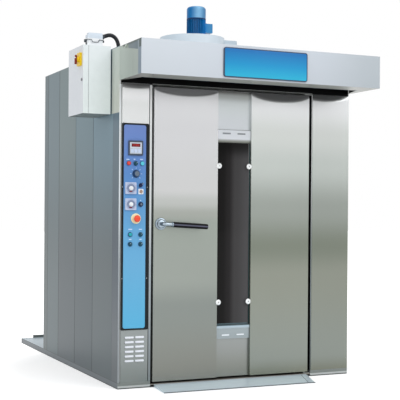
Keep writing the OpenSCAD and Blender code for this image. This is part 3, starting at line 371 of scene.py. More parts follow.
class Shape:
    """Mesh of one piece, gathered from lathed, cut and swept forms."""

    def __init__(self):
        self.points = []
        self.faces = []

    def put(self, points, faces, where):
        start = len(self.points)
        self.points += [where @ Vector(p) for p in points]
        self.faces += [[i + start for i in face] for face in faces]
        return self

    def lathe(self, profile, where, sides=48, ring=False, flutes=0, flute=0.0, fluted=()):
        """Turns a profile of (radius, height) pairs round the piece's z."""
        points, rows = [], []
        for k, (r, h) in enumerate(profile):
            if r < 1e-6:
                rows.append([len(points)] * sides)
                points.append((0, 0, h))
                continue
            rows.append(list(range(len(points), len(points) + sides)))
            for i in range(sides):
                a = 2 * math.pi * i / sides
                cut = flute * (0.5 + 0.5 * math.cos(flutes * a)) if k in fluted else 0.0
                points.append(((r - cut) * math.cos(a), (r - cut) * math.sin(a), h))
        faces = bridge(rows, ring)
        if not ring:
            faces += [row[::way] for row, way in ((rows[0], -1), (rows[-1], 1)) if row[0] != row[1]]
        return self.put(points, faces, where)

    def plate(self, outline, height, where, bevel, holes=(), steps=3):
        """Flat piece with a rounded front edge, cut along an outline, with holes."""
        rings = [list(map(Vector, outline))] + [[Vector(p) for p in reversed(hole)] for hole in holes]
        levels = [(0.0, 0.0)] + [(bevel * (1 - math.cos(a)), height - bevel + bevel * math.sin(a))
            for a in (math.pi / 2 * i / steps for i in range(steps + 1))]
        points, faces, first, last = [], [], [], []
        for ring in rings:
            start = len(points)
            for by, z in levels:
                points += [(p[0], p[1], z) for p in inset(ring, by)]
            rows = numbered(start, len(ring), len(levels))
            faces += bridge(rows)
            first += rows[0]
            last += rows[-1]
        for ids, way in ((first, -1), (last, 1)):
            flat, k = [], 0
            for ring in rings:
                flat.append([Vector((points[i][0], points[i][1], 0)) for i in ids[k:k + len(ring)]])
                k += len(ring)
            faces += [[ids[i] for i in tri][::way] for tri in tessellate_polygon(flat)]
        return self.put(points, faces, where)

    def bar(self, w, h, r, height, where):
        """Thin rounded bar, as printed or engraved."""
        return self.plate(rounded(w, h, r, steps=2), height, where, 0.1, steps=1)

    def sweep(self, route, radii, where, sides=20):
        """Round tube along a route, with a radius at each point."""
        route = [Vector(p) for p in route]
        points, normal = [], None
        for i, p in enumerate(route):
            d = (route[min(i + 1, len(route) - 1)] - route[max(i - 1, 0)]).normalized()
            if normal is None:
                normal = d.orthogonal().normalized()
            normal = (normal - d * normal.dot(d)).normalized()
            side = d.cross(normal)
            points += [p + (normal * math.cos(a) + side * math.sin(a)) * radii[i]
                for a in (2 * math.pi * k / sides for k in range(sides))]
        rows = numbered(0, sides, len(route))
        return self.put(points, bridge(rows) + [rows[0][::-1], rows[-1]], where)

    def surround(self, x0, z0, x1, z1, profile, where):
        """Moulding of a profile of (inward, height) pairs, mitred round a rectangle."""
        points = []
        for sx, sz, x, z in ((1, 1, x0, z0), (-1, 1, x1, z0), (-1, -1, x1, z1), (1, -1, x0, z1)):
            points += [(x + sx * u, z + sz * u, v) for u, v in profile]
        return self.put(points, bridge(numbered(0, len(profile), 4), True), where)

    def piece(self, name, look, slot, body="cabinet", stands_for=()):
        """Makes the object, which rides on a body."""
        mesh = bpy.data.meshes.new(name)
        mesh.from_pydata(self.points, [], self.faces)
        work = bmesh.new()
        work.from_mesh(mesh)
        bmesh.ops.remove_doubles(work, verts=work.verts, dist=1e-6)
        bmesh.ops.recalc_face_normals(work, faces=work.faces)
        for face in work.faces:
            face.smooth = True
        for edge in work.edges:
            edge.smooth = len(edge.link_faces) == 2 and edge.calc_face_angle() < SHARP
        work.to_mesh(mesh)
        work.free()
        mesh.materials.append(look.material)
        made = bpy.data.objects.new(name, mesh)
        scene.collection.objects.link(made)
        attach(made, body)
        if stands_for:
            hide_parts(*stands_for)
        return made


def turned(name, look, slot, profile, *places, body="cabinet", stands_for=(), **how):
    """A piece with the same lathed form at one or more places."""
    shape = Shape()
    for where in places:
        shape.lathe(profile, where, **how)
    shape.piece(name, look, slot, body, stands_for)


def strip(name, look, slot, size, height, *places, bevel=0.3, body="cabinet"):
    """A piece with the same plain plate at one or more places; size is its w, h and corner radius."""
    shape = Shape()
    for where in places:
        shape.plate(rounded(*size), height, where, bevel)
    shape.piece(name, look, slot, body)


# ---- the conduit comes first

PLUG_Y = 300
ROUTE = [(-20, 2270), (2, 2276), (24, 2284), (46, 2285), (66, 2277), (82, 2261), (92, 2240), (98, 2215),
    (100, 2190), (100, 2168)]


def smooth_route(points, per_span):
    """Even curve through points, by Catmull-Rom spans."""
    ends = [points[0] * 2 - points[1], *points, points[-1] * 2 - points[-2]]
    out = []
    for a, b, c, d in zip(ends, ends[1:], ends[2:], ends[3:]):
        for i in range(per_span):
            t = i / per_span
            out.append(0.5 * (b * 2 + (c - a) * t + (a * 2 - b * 5 + c * 4 - d) * t * t
                + (b * 3 - a - c * 3 + d) * t ** 3))
    return out + [points[-1]]


def plastic(name, colour, rough=0.4, coat=0.0, grain=0.02):
    """Moulded plastic with a fine grain and a little variation."""
    look = Finish(name, rough=rough, coat=coat * 0.5)
    paler = [min(255, v + 1) for v in channels(colour, 1.03)]
    look.paint(look.ramp(look.noise(5.0), [(0.2, colour), (0.8, paler)]), look.vary(14.0, 0.95, 1.05, 3.0))
    look.rub(look.vary(120.0, rough - 0.05, rough + 0.07))
    return look.bump(look.noise(900.0), grain, 0.001)


PITCH, GROOVE, CONDUIT_R = 0.0052, 0.0016, 0.0135       # metres


def make_conduit(look):
    """Corrugated conduit from the plug down to the roof."""
    route = smooth_route([spot(x, PLUG_Y, z) for x, z in ROUTE], 34)
    radii, run = [], 0.0
    for i, p in enumerate(route):
        run += (p - route[i - 1]).length if i else 0.0
        radii.append(CONDUIT_R - GROOVE * (0.5 - 0.5 * math.cos(2 * math.pi * run / PITCH)))
    conduit = Shape().sweep(route, radii, Matrix.Identity(4), 24).piece("conduit_corrugated", look,
        "conduit_black", stands_for=["cable_conduit"])


make_conduit(plastic("conduit_black", 0x222428, 0.38, 0.2))

# ---- finishes of the sheets

# near-black pair for painted shade under the hood and in gaps
PAINTED_SHADE_BLACK = (0x0E0E0F, 0x141415)


def brushed(look, rough, strength=0.006, axis=Z):
    """Factor of the brushing along an axis, which also sets the roughness and a fine bump."""
    stretch = [900.0, 900.0, 900.0]
    stretch[axis] = 9.0
    lines = look.noise(1.0, stretch, 3.0)
    look.rub(look.span(lines, 0.25, 0.75, rough - 0.003, rough + 0.003))
    look.bump(lines, 0.005, 0.0001)
    return look.span(lines, 0.2, 0.8, 1 - strength, 1 + strength)


def smudges(look, amount):
    return look.span(look.noise(1.7, (1, 1, 0.6), 3.0), 0.3, 0.7, 1 - amount, 1 + amount, "SMOOTHSTEP")


def bow(look, x0, x1, top, depth, shade):
    """Rounding of a sheet towards its upper edge, deepest in the middle; returns a colour factor for the
    bowed band, painted shade where shade is below 1 and painted highlight where it is above 1, standing for
    the dark hood's reflection.
    """
    half = (x1 - x0) / 2000
    middle = ((x0 + x1) / 2 - AXIS_X) / 1000
    share = look.math("DIVIDE", look.math("SUBTRACT", look.axes[X], middle), half)
    under = look.math("SUBTRACT", 1.0, look.times(share, share))
    round_edge = look.math("SQRT", look.most(under, 0.0))
    limit = look.math("SUBTRACT", top / 1000, look.times(round_edge, depth / 1000))
    rise = look.math("SMOOTH_MAX", look.math("SUBTRACT", look.axes[Z], limit), 0.0, 0.012)
    look.bump(look.times(rise, -0.22), 1.0, 1.0)
    # this factor scales the colour in the bowed band: painted shade below 1, painted highlight above 1
    return look.span(rise, 0.004, 0.016, 1.0, shade)


def steel(name, stops, rough=0.26, metal=0.72, bowed=None, kind="EASE"):
    """Brushed stainless sheet whose tone changes with height; the height ramp is painted reflection and
    shade, and a bowed sheet's top band is painted by bow().
    """
    look = Finish(name, rough=rough, metal=metal)
    shades = [bow(look, *bowed)] if bowed else []
    tone = look.along(Z, 0, CABINET_H, stops, kind)
    return look.paint(tone, brushed(look, rough), smudges(look, 0.012), *shades)


def enamel(name, tone, rough=0.35, coat=0.3, peel=0.05):
    """Painted sheet with a faint orange peel; tone is a function that makes its colour."""
    look = Finish(name, rough=rough, coat=coat, coat_rough=0.15)
    look.paint(tone(look), look.vary(30.0, 0.985, 1.01, 3.0))
    look.rub(look.vary(4.0, rough - 0.06, rough + 0.08, 4.0))
    return look.bump(look.noise(420.0), peel, 0.001)


def dress(look, *names):
    """Gives a finish to CAD nodes."""
    for name in names:
        slots = nodes[name].material_slots
        if not slots:
            nodes[name].data.materials.append(look.material)
        for slot in slots:
            slot.material = look.material


LEAF_TOP, COLUMN_TOP = 1934, 1946
# Height ramps of the front sheets: painted reflection, mostly darker low down and paler up high.
RIGHT_TONES = [(0, 0x76796C), (150, 0x858B85), (700, 0x878B81), (890, 0x787E73), (1150, 0x939993),
    (1450, 0xB8BEBA), (1650, 0xC7CBC8), (1850, 0xDCDEDF)]
dress(steel("steel_left_leaf", [(60, 0x80827C), (500, 0x828884), (700, 0x929892), (1050, 0x969D96),
    (1110, 0x9EA29C), (1190, 0xB4B7B4), (1270, 0xC4C5C5), (1640, 0xC9CACC), (1850, 0xD2D3D5)],
    bowed=(225, 702, LEAF_TOP, 58, 1.15)), "door_left_skin")
dress(steel("steel_right_leaf", RIGHT_TONES, bowed=(925, 1393, LEAF_TOP, 64, 0.6)), "door_right_skin")
dress(steel("steel_left_column", [(20, 0x7A817F), (300, 0x8C9292), (900, 0xACB1B0), (1350, 0xCBCECE),
    (1800, 0xD8DADA), (1890, 0xF8F9FA)], bowed=(-40, 262, COLUMN_TOP, 36, 0.6)), "column_cover")
dress(steel("steel_right_column", [(z, channels(colour, 0.97)) for z, colour in RIGHT_TONES],
    bowed=(1300, 1712, COLUMN_TOP, 52, 0.5)), "right_column_cover")
# the strip's darker stops from 1895 mm up are painted shade under the hood
dress(steel("steel_strip", [(60, 0x838680), (280, 0x8F9392), (900, 0xACB0B0), (1700, 0xC1C6CA),
    (1850, 0xC4CACB), (1895, 0xAAAEAD), (1930, 0x646462)]), "door_strip_panels")
# the dark stop at 1588 mm is painted shade on the upper bracket's sloping lip
dress(steel("steel_bracket", [(285, 0x98A2A6), (352, 0x9EA8AC), (362, 0xB4C6D2), (376, 0x96A8B2),
    (420, 0xF0F3F4), (1540, 0xF0F3F4), (1588, 0x686A64), (1602, 0x969A94), (1608, 0xD4D8DE)], 0.3, 0.3,
    kind="LINEAR"), "window_fittings")
dress(steel("steel_pan", [(0, 0x787C78), (1900, 0xAAACAA)], rough=0.35), "door_pan", "door_pivots")

WALL_SEAMS = (0, 517, 910, 1321, 1620)


def wall_look(name, tones):
    """Side wall of five cassettes from front to rear, each with an upper and a lower tone; the paler upper
    tone is a painted reflection, and front faces above the soffit are painted near black as shade.
    """
    look = Finish(name, rough=0.42, metal=0.4, specular=0.1)
    # painted reflection: each cassette's upper tone is paler than its lower one
    high, low = (look.along(Y, 0, CABINET_D, [(y, pair[k]) for y, pair in zip(WALL_SEAMS, tones)],
        "CONSTANT") for k in (0, 1))
    up = look.span(look.axes[Z], 0.75, 1.75, kind="SMOOTHSTEP")
    # painted shade: front faces above 1930 mm, under the hood, are painted near black
    painted_shade = look.times(look.facing(Y), look.beyond(Z, 1930))
    tone = look.mix(painted_shade, look.mix(up, low, high), look.mottle(6.0, *PAINTED_SHADE_BLACK))
    seams = [look.span(look.off(Y, y), 0.003, 0.007, 0.55, 1.0) for y in WALL_SEAMS[1:]]
    return look.paint(tone, brushed(look, 0.34), smudges(look, 0.012), *seams)


dress(wall_look("steel_left_wall", [(0x718B98, 0x545F63), (0x6E848D, 0x4E595E), (0x728285, 0x515B60),
    (0x6E7F86, 0x5B686C), (0x647278, 0x5C6668)]), "left_wall_panels")
dress(wall_look("steel_right_wall", [(0x8C9498, 0x7A8082), (0x899195, 0x777D7F), (0x8B9397, 0x797F81),
    (0x889094, 0x767C7E), (0x8A9296, 0x787E80)]), "right_wall_panels")


def frame_look():
    """Front frame: bright front edges, paler towards the top as a painted reflection; the wall tone on its
    left side; near black as painted shade on the right jamb's side, above the soffit and on undersides
    under the hood.
    """
    look = Finish("steel_frame", rough=0.4, metal=0.4, specular=0.1)
    front = look.along(Z, 0, CABINET_H, [(0, 0x7C8486), (700, 0x9EA9AE), (1300, 0xCDD2D2),
        (1937, 0xE8EBEA)])
    side = look.along(Z, 0, CABINET_H, [(0, 0x5B6266), (870, 0x3E4B57), (1550, 0x5C6F7A), (1740, 0x607684)])
    # painted shade: the right jamb's side, in the gap beside the door, is painted near black
    right_jamb = look.beyond(X, 1380)
    side = look.mix(right_jamb, side, look.mottle(6.0, 0x121414, 0x1A1C1C))
    tone = look.mix(look.facing(X), front, side)
    # painted shade under the hood: above the door and the column, and on undersides near the hood, the
    # frame is painted near black
    over_door = look.times(look.beyond(Z, 1936.4), look.beyond(X, 206))
    over_column = look.times(look.beyond(Z, 1941), look.beyond(X, 10))
    underside = look.times(look.facing(Z), look.beyond(Z, 1900))
    painted_shade = look.most(over_door, over_column, underside)
    return look.paint(look.mix(painted_shade, tone, look.mottle(6.0, *PAINTED_SHADE_BLACK)), brushed(look, 0.3))


dress(frame_look(), "front_frame")


def hood_look():
    """Pale sheet outside; its left cheek and its underside are given darker tones as painted shade, and its
    recess is painted near black as shade.
    """
    look = Finish("hood_sheet", rough=0.34, metal=0.25, coat=0.15, coat_rough=0.2)
    front = look.along(X, 0, CABINET_W, [(0, 0xC4CBD2), (500, 0xC2C9D1), (1150, 0xBEC5CD),
        (1700, 0xADB5BB)])
    front = look.scaled(front, look.span(look.axes[Z], 1.955, 2.16, 0.95, 1.01))
    # the cheek's blue-grey end strip is its own colour; the rest of the cheek is painted darker than the
    # front as shade on the left-facing side
    cheek = look.along(Y, -378, 0, [(-378, 0x7A8A99), (-330, 0x808F9C), (-318, 0xA4AEA7), (-180, 0xA6B0A8),
        (-60, 0xB3BDB4), (0, 0xB5BFB6)], "LINEAR")
    # painted shade: the underside gets a darker tone than the front
    under = look.along(X, 0, CABINET_W, [(0, 0x767872), (260, 0x8A8E86), (900, 0x949991), (1700, 0x888C86)])
    tone = look.mix(look.facing(X), front, cheek)
    tone = look.mix(look.facing(Z), tone, under)
    aside = look.off(X, CABINET_W / 2)
    between = look.most(look.span(aside, 0.7792, 0.7788), look.span(look.axes[Z], 2.0468, 2.0464))
    # painted shade: the recess inside the hood is painted near black
    recess_shade = look.times(look.span(aside, 0.8492, 0.8488), between, look.beyond(Y, -200.2, 0.1),
        look.beyond(Z, 1956.0), look.span(look.axes[Z], 2.1672, 2.1668))
    look.paint(look.mix(recess_shade, tone, look.mottle(5.0, 0x0F0F10, 0x161616)),
        look.vary(2.5, 0.985, 1.012, 3.0))
    look.rub(look.math("ADD", look.vary(3.0, 0.3, 0.38), look.times(recess_shade, 0.3)))
    return look.bump(look.noise(380.0), 0.04, 0.001)


dress(hood_look(), "hood_shell")


def base_look():
    """Folded base rails: dull on their upright sides, with a bright lower fold and painted contact shadow
    along their foot, pale on the platform.
    """
    look = Finish("base_sheet", rough=0.36, metal=0.3, specular=0.1)
    top = look.along(Y, 0, 2400, [(0, 0x96A0A6), (1700, 0xB2C0C8), (2400, 0xC6D4DC)])
    # the darkest stops at the foot of the front and the side are painted contact shadow
    front = look.along(Z, 0, 60, [(0, 0x424444), (6, 0x525656), (8, 0xB0B5B5), (18, 0xB4B9B9),
        (20, 0x7A807E), (60, 0x7C8280)], "LINEAR")
    side = look.along(Z, 0, 60, [(0, 0x3C4044), (5, 0x4C5256), (7, 0x6A7176), (36, 0x6E757A),
        (38, 0x3E4448), (60, 0x464C50)], "LINEAR")
    tone = look.mix(look.facing(Y), top, front)
    tone = look.mix(look.facing(X), tone, side)
    return look.paint(tone, brushed(look, 0.36, axis=Y), smudges(look, 0.03))


dress(base_look(), "base_frame")


def ramp_look():
    """Tread sheet, dulled along the middle by trolley wheels."""
    look = Finish("ramp_sheet", rough=0.34, metal=0.25)
    tone = look.along(X, 222, 1368, [(222, 0xD2E2EC), (700, 0xD5E5EF), (1368, 0xD0E0EA)])
    worn = look.span(look.noise(3.0, (1, 5, 1), 4.0), 0.35, 0.7, 0.965, 1.02)
    return look.paint(tone, brushed(look, 0.3, axis=X), worn)


dress(ramp_look(), "entry_ramp")
dress(enamel("rear_sheet", lambda look: look.along(Z, 0, CABINET_H,
    [(0, 0x848A8D), (1000, 0x9EA4A7), (2172, 0xB0B5B8)]), 0.42, 0.1), "rear_wall", "roof_panel")
dress(enamel("drum_enamel", lambda look: look.along(X, 540, 1110,
    [(540, 0xD8E7F2), (777, 0xDBE6EF), (1110, 0xBFCED9)]), 0.35, 0.25), "drive_housing")


def heated(name, low, high, rough=0.4, metal=0.6):
    """Steel that heat has tinted in patches."""
    look = Finish(name, rough=rough, metal=metal)
    return look.paint(look.mottle(1.3, low, high, 4.0), brushed(look, rough, 0.03))


dress(heated("chamber_steel", 0x706A62, 0x8E8A84), "chamber_liner", "air_duct_wall", "chamber_floor")
dress(heated("hot_steel", 0x342E2A, 0x4A423C, 0.6, 0.4), "heat_exchanger")
dress(heated("fan_steel", 0x969899, 0xAAABAC, 0.35), "circulation_fan")
dress(heated("shaft_steel", 0x8A8A88, 0x9E9E9C, 0.3), "rack_shaft", "shaft_bearing")


def wool_look():
    look = Finish("wool", rough=0.95, specular=0.1)
    fibres = look.noise(60.0, (1, 1, 6), 6.0)
    look.paint(look.ramp(fibres, [(0.3, 0x968246), (0.7, 0xCCB878)]))
    return look.bump(fibres, 0.6, 0.004)


dress(wool_look(), "insulation")

# ---- finishes of the fittings


def motor_look(name, left, middle, right, box, rough=0.3):
    """Gloss enamel on a casting; its tones run from the left side to the terminal box."""
    look = Finish(name, rough=rough, coat=0.12, coat_rough=0.12, specular=0.15)
    tone = look.along(X, 735, 905, [(746, left), (796, middle), (856, right), (896, box)])
    look.paint(tone, look.vary(40.0, 0.96, 1.03, 3.0))
    return look.bump(look.noise(260.0, detail=4.0), 0.12, 0.001)


motor_blue = motor_look("motor_blue", 0x0A629C, 0x095E98, 0x1282C8, 0x3A86BA)
dress(motor_blue, "drive_motor", "fan_motor")
# painted highlight: the cowl's pale middle stop across x
dress(motor_look("cowl_blue", 0x0470B0, 0x80B6DC, 0x3E7CAC, 0x3876A6, 0.28), "motor_cowl")


def box_tone(look):
    """Switch box: its front, its left side and its underside, painted dark as shade."""
    front = look.along(Z, 1750, 2187, [(1750, 0xEAF3F2), (2187, 0xE4EBED)])
    side = look.along(Z, 1750, 2187, [(1750, 0xDEE3E9), (2187, 0xE0E5EB)])
    # painted shade: faces looking down get a dark grey
    under = look.mottle(3.0, 0x686F6C, 0x6E7571)
    return look.mix(look.facing(X), look.mix(look.facing(Z), front, under), side)


def plug_tone(look):
    # the base below 2250 mm is paler than the hood above; that paleness is partly a painted highlight
    return look.along(Z, 2187, 2290, [(2187, 0xECF0F3), (2250, 0xF0F3F6), (2258, 0xD4DFEA),
        (2290, 0xDAE4EE)])


dress(enamel("box_enamel", box_tone, 0.32, 0.1), "switch_box", "switch_box_lid")
dress(enamel("plug_enamel", plug_tone, 0.3, 0.15, 0.12), "connector_base", "connector_hood")


def chrome_look(name, low, high, rough):
    """Polished plating with faint wipe marks."""
    look = Finish(name, rough=rough, metal=1.0)
    look.paint(look.mottle(30.0, low, high, 3.0))
    return look.rub(look.vary(80.0, rough - 0.04, rough + 0.06, 3.0, (1, 1, 4)))


chrome = chrome_look("chrome", 0x7C8892, 0xA4B0BA, 0.16)
screw_look = chrome_look("screw_steel", 0x84888A, 0x969A9C, 0.28)
dress(chrome_look("lock_chrome", 0x787C80, 0x969A9E, 0.2), "lid_lock")

clip_dark = plastic("clip_dark", 0x464C52, 0.35)
yellow = plastic("isolator_yellow", 0xEEC81E, 0.3, 0.3)
dark_red = plastic("isolator_red", 0x762214, 0.32, 0.3)
white = plastic("white_plastic", 0xE8ECF0, 0.35, 0.1)
black_frame = plastic("panel_black", 0x0C1419, 0.42)
graphite = plastic("controller_grey", 0x485262, 0.42)
teal = plastic("teal_plastic", 0x0C4858, 0.28, 0.35)
dial_grey = plastic("housing_grey", 0xB8C4DE, 0.42)
ring_grey = plastic("dial_ring", 0x808CA8)
mark_red = plastic("dial_red", 0x761628)
knob_cap = plastic("knob_cap", 0x687686)
navy = plastic("navy_plastic", 0x142248, 0.3, 0.3)
tick_look = plastic("tick_white", 0xC4D8F4, 0.5)
rubber = plastic("seal_rubber", 0x262628, 0.6, grain=0.06)
rim_look = plastic("sign_rim", 0x3A4A62, 0.35)
dress(yellow, "isolator_base")
dress(black_frame, "control_panel")
dress(graphite, "controller")
dress(plastic("key_grey", 0xC6D4EC, 0.55), "key_left", "key_middle", "key_right")


def grip_look():
    """Black rubber with a painted highlight: a paler line where it faces forward."""
    look = Finish("grip_black", rough=0.4, specular=0.1)
    # painted highlight along the grip's forward-facing, level crown
    level = look.span(look.math("ABSOLUTE", look.tilt(Z)), 0.34, 0.1)
    look.paint(look.mix(look.times(level, look.facing(Y)), look.mottle(7.0, 0x07070B, 0x0A0A0E),
        look.mottle(11.0, 0x565868, 0x626476)))
    return look.bump(look.noise(500.0), 0.08, 0.001)


def glass_look():
    """Dark window glass; its paler right side is painted light standing for the lit chamber behind it, and
    its tone darkens towards the top.
    """
    look = Finish("window_glass", rough=0.03, specular=0.06, clear=0.1)
    # painted light: paler towards the right, for the lit chamber behind
    tone = look.along(X, 690, 937, [(690, 0x100F10), (735, 0x141313), (780, 0x242223), (830, 0x424142),
        (937, 0x525153)])
    look.paint(tone, look.span(look.axes[Z], 1.46, 1.57, 1.0, 0.16, "SMOOTHSTEP"))
    return look.rub(look.span(look.noise(6.0, detail=4.0), 0.3, 0.8, 0.02, 0.07))


dress(glass_look(), "window_glass")


def foil_look(name, stops, low, high, rough=0.3):
    """Printed foil: a colour that runs from one tint to another with height, under a clear coat."""
    look = Finish(name, rough=rough, coat=0.08, coat_rough=0.12, specular=0.12)
    look.paint(look.along(Z, low, high, stops, "LINEAR"), look.vary(700.0, 0.985, 1.01))
    return look.bump(look.noise(150.0), 0.03, 0.001)

# ---- front: columns, hood, sign

SIGN = place(842, -378, 2057.5, FRONT)
HOOD_UNDER = 1955
CHEEK = place(0, 0, 0, LEFT)

sign_foil = foil_look("sign_foil", [(1970, 0x34B2D5), (2050, 0x2896CB), (2145, 0x2971B5)], 1965, 2150, 0.22)
strip("sign_face", sign_foil, "sign_blue", (582.6, 173.6, 9), 9.2, SIGN, bevel=0.5)
Shape().plate(rounded(594, 185, 14), 10.1, SIGN, 0.9, [rounded(583, 174, 9)]).piece("sign_frame", rim_look,
    "sign_blue", stands_for=["sign_plate"])
turned("hood_screws", screw_look, "hood_sheet", [(0, 2.6), (3, 2.4), (5.5, 1.2), (6, 0)],
    *(place(x, y, HOOD_UNDER, DOWN) for x, y in ((91, -340), (791, -272), (1243, -237), (1560, -216))),
    sides=20)
strip("hood_seam", rim_look, "hood_sheet", (1560, 3, 1), 0.7, place(850, -208, HOOD_UNDER, DOWN))

# on the left cheek: a lapped joint, a darker sheet with its clip, and the raised upper edge; the darker
# sheet's grey and the edge's dark grey are partly painted shade
Shape().sweep([(236, 2100, 0), (236.5, 2060, 0), (236, 2010, 0), (238, 1958, 0)], [0.9] * 4, CHEEK,
    8).piece("cheek_joint", steel("steel_cheek", [(1950, 0x96A09A), (2172, 0x9CA6A0)], 0.3, 0.4),
    "hood_sheet")
backing_look = Finish("cheek_backing", rough=0.4, metal=0.3, specular=0.1)
backing_look.paint(backing_look.along(Y, -330, -50, [(-330, 0x74828A), (-152, 0x828D91), (-142, 0xA0AAA0),
    (-50, 0xA6B0A6)], "LINEAR"), brushed(backing_look, 0.4))
Shape().plate([(50, 2146), (330, 2098), (330, 2165.4), (50, 2165.4)], 2, place(4.3, 0, 0, LEFT),
    0.3).piece("cheek_backing", backing_look, "hood_sheet")
Shape().plate([(76, 2146), (92, 2146), (126, 2164), (112, 2166)], 4.2, place(2.6, 0, 0, LEFT),
    1).piece("cheek_clip", plastic("clip_pale", 0xCED8CE, 0.35), "hood_sheet")
crest = Shape().plate([(52, 2161.5), (376, 2161.5), (376, 2167.4), (52, 2167.4)], 0.8, CHEEK, 0.3)
crest.plate([(341, 2116), (376, 2116), (376, 2160.8), (341, 2160.8)], 0.8, CHEEK, 0.3)
crest.piece("cheek_crest", plastic("crest_grey", 0x5C6866, 0.45), "hood_sheet")

POST_H, POST_Z = 1890, 987
strip("corner_cover", steel("steel_corner", [(1750, 0xC8CCC2), (2172, 0xC7D0C8)], 0.4, 0.2), "frame_steel",
    (144, 416, 2), 1.0, place(0, 72.6, 1960, LEFT), bevel=0.5)
strip("soffit_trim", plastic("trim_grey", 0x969996, 0.45), "frame_steel", (1182, 3, 1), 1.4,
    place(814, 0.2, 1942.5, FRONT), bevel=0.5)
strip("corner_edge", steel("steel_post", [(0, 0x949A9E), (700, 0x9CA4A9), (1250, 0xD0D8DC),
    (1930, 0xECF0F1)], 0.35, 0.4), "frame_steel", (8, POST_H, 2), 0.9, place(4, 0, POST_Z, FRONT),
    bevel=0.5)
strip("corner_joint", steel("steel_joint", [(0, 0x808484), (700, 0x8A8E8E), (1930, 0xB0B4B4)], 0.4, 0.4),
    "frame_steel", (10.8, POST_H, 1), 1.0, place(13.5, 2, POST_Z, FRONT), bevel=0.4)
strip("vent_louvres", plastic("vent_white", 0xDEE2EA), "front_steel", (59, 12.6, 4), 7,
    *(place(x, 0, 325 - row * 29.8, FRONT) for x in (76, 146) for row in range(6)), bevel=2)

# rolled nose along the ramp's front edge and a fold line near its right end; their dark grey is partly
# painted shade under the edge
nose = Shape().sweep([(222, -235.5, 3), (760, -241.5, 3), (1298, -247.5, 3)], [3, 3, 3], place(0, 0, 0), 12)
nose.sweep([(1252, -240, 2.8), (1318, -25, 17.2)], [1.2, 1.2], place(0, 0, 0), 10)
nose.piece("ramp_nose", plastic("nose_grey", 0x5C646A), "base_sheet")

# ---- control panel

PANEL_Y, FASCIA_Y = -6.0, -16
FOIL, BORDER_X = (104.5, 1029), 108
RED, HEAT, CYAN = (62, 1431), (109, 1431), (153, 1431)
KNOB, SWITCH, BUZZER, SMALL, STOP = (113, 1365), (145, 1293), (145, 1252), (145, 1171), (113, 1080)
LAMP, STEAM, FAN, LIGHT = (75, 979), (145, 979), (75, 918), (145, 918)
BEZELS = (RED, HEAT, CYAN, STEAM, FAN, LIGHT, LAMP)
TIMERS = (("upper", (76, 1273)), ("lower", (76, 1171)))
SCREEN = (107, 1546)


def on_panel(at, out=0.0, turn=0.0, up=0.0):
    """Place on the panel, and then along the piece's own y."""
    return place(at[0], PANEL_Y - out, at[1], FRONT, turn) @ Matrix.Translation((0, up, 0))


def on_foil(at):
    return at[0] - FOIL[0], at[1] - FOIL[1]


cuts = [disc(14.5, *on_foil(at), 24) for at in BEZELS]
cuts += [disc(r, *on_foil(at), 24) for r, at in ((25.5, KNOB), (13, SWITCH), (16, SMALL), (20, STOP))]
cuts += [rounded(72, 72, 3, *on_foil(at)) for _, at in TIMERS] + [rounded(94, 90, 3, *on_foil((107, 1528)))]
Shape().plate(rounded(150, 1292, 13), 0.5, on_panel(FOIL), 0.2, cuts, 1).piece("panel_foil",
    foil_look("panel_foil", [(380, 0x5CB1DA), (780, 0x6AADD6), (1010, 0x67A7D5), (1370, 0x5C8AC7),
    (1500, 0x688CCC), (1650, 0x748FCE)], 372, 1686), "panel_blue")
Shape().plate(rounded(182, 1314, 10), 1.4, on_panel((BORDER_X, FOIL[1])), 0.6,
    [rounded(150.6, 1292.6, 13, FOIL[0] - BORDER_X)]).piece("panel_border", black_frame, "panel_blue")
turned("panel_studs", screw_look, "panel_blue", [(0, 2.2), (2.4, 1.9), (3.6, 0.8), (3.8, 0)],
    *(on_panel((x, z), 1.2) for x in (22, 189) for z in (700, 1280)), sides=18)

Shape().plate(rounded(80, 72, 2), 0.7, place(107, FASCIA_Y, 1528, FRONT), 0.3,
    [rounded(21.4, 25.4, 1, k * 24, -18) for k in (-1, 0, 1)]
    + [rounded(60, 21, 1, 0, 18)]).piece("controller_fascia", plastic("fascia_grey", 0xC4CCD6),
    "controller_grey")
strip("controller_screen", plastic("screen_red", 0x701418, 0.18, 0.6), "controller_grey", (59, 20, 1), 1.0,
    place(SCREEN[0], FASCIA_Y, SCREEN[1], FRONT))
SEGMENTS = {"a": (0, 5.6, 6, 1.4), "b": (3.2, 2.9, 1.4, 4.6), "c": (3.2, -2.9, 1.4, 4.6),
    "d": (0, -5.6, 6, 1.4), "e": (-3.2, -2.9, 1.4, 4.6), "f": (-3.2, 2.9, 1.4, 4.6), "g": (0, 0, 6, 1.4)}
digits = Shape()
for k, lit in enumerate(("abged", "abcdfg", "abcdef")):
    for x, z, w, h in (SEGMENTS[letter] for letter in lit):
        digits.bar(w, h, 0.6, 0.3, place(SCREEN[0] + (k - 1) * 14 + x, FASCIA_Y - 1, SCREEN[1] + z, FRONT))
digits.piece("controller_digits", plastic("digit_red", 0xD63430, 0.3), "controller_grey")

turned("bezel_rings", plastic("bezel_blue", 0x426896, 0.3, 0.3), "housing_grey",
    [(13.7, 0), (16, 0), (16, 2.4), (15.4, 3.6), (14.6, 4), (13.9, 3.7)], *(on_panel(at) for at in BEZELS),
    ring=True, stands_for=["panel_housings"])
turned("signal_lamp", plastic("lamp_teal", 0x1EA0AA, 0.22, 0.5), "turquoise_plastic",
    [(0, 0.5), (11.9, 0.5), (11.9, 8), (11, 10.2), (8.5, 11.4), (4, 11.9), (0, 12)], on_panel(LAMP))
turned("stop_collar", plastic("stop_cream", 0xF4EABE, 0.35, 0.2), "housing_grey",
    [(8.6, 0), (33, 0), (33, 3.6), (32.2, 5), (30.6, 5.9), (24, 6), (22, 5.2), (8.6, 5)], on_panel(STOP),
    sides=64, ring=True)


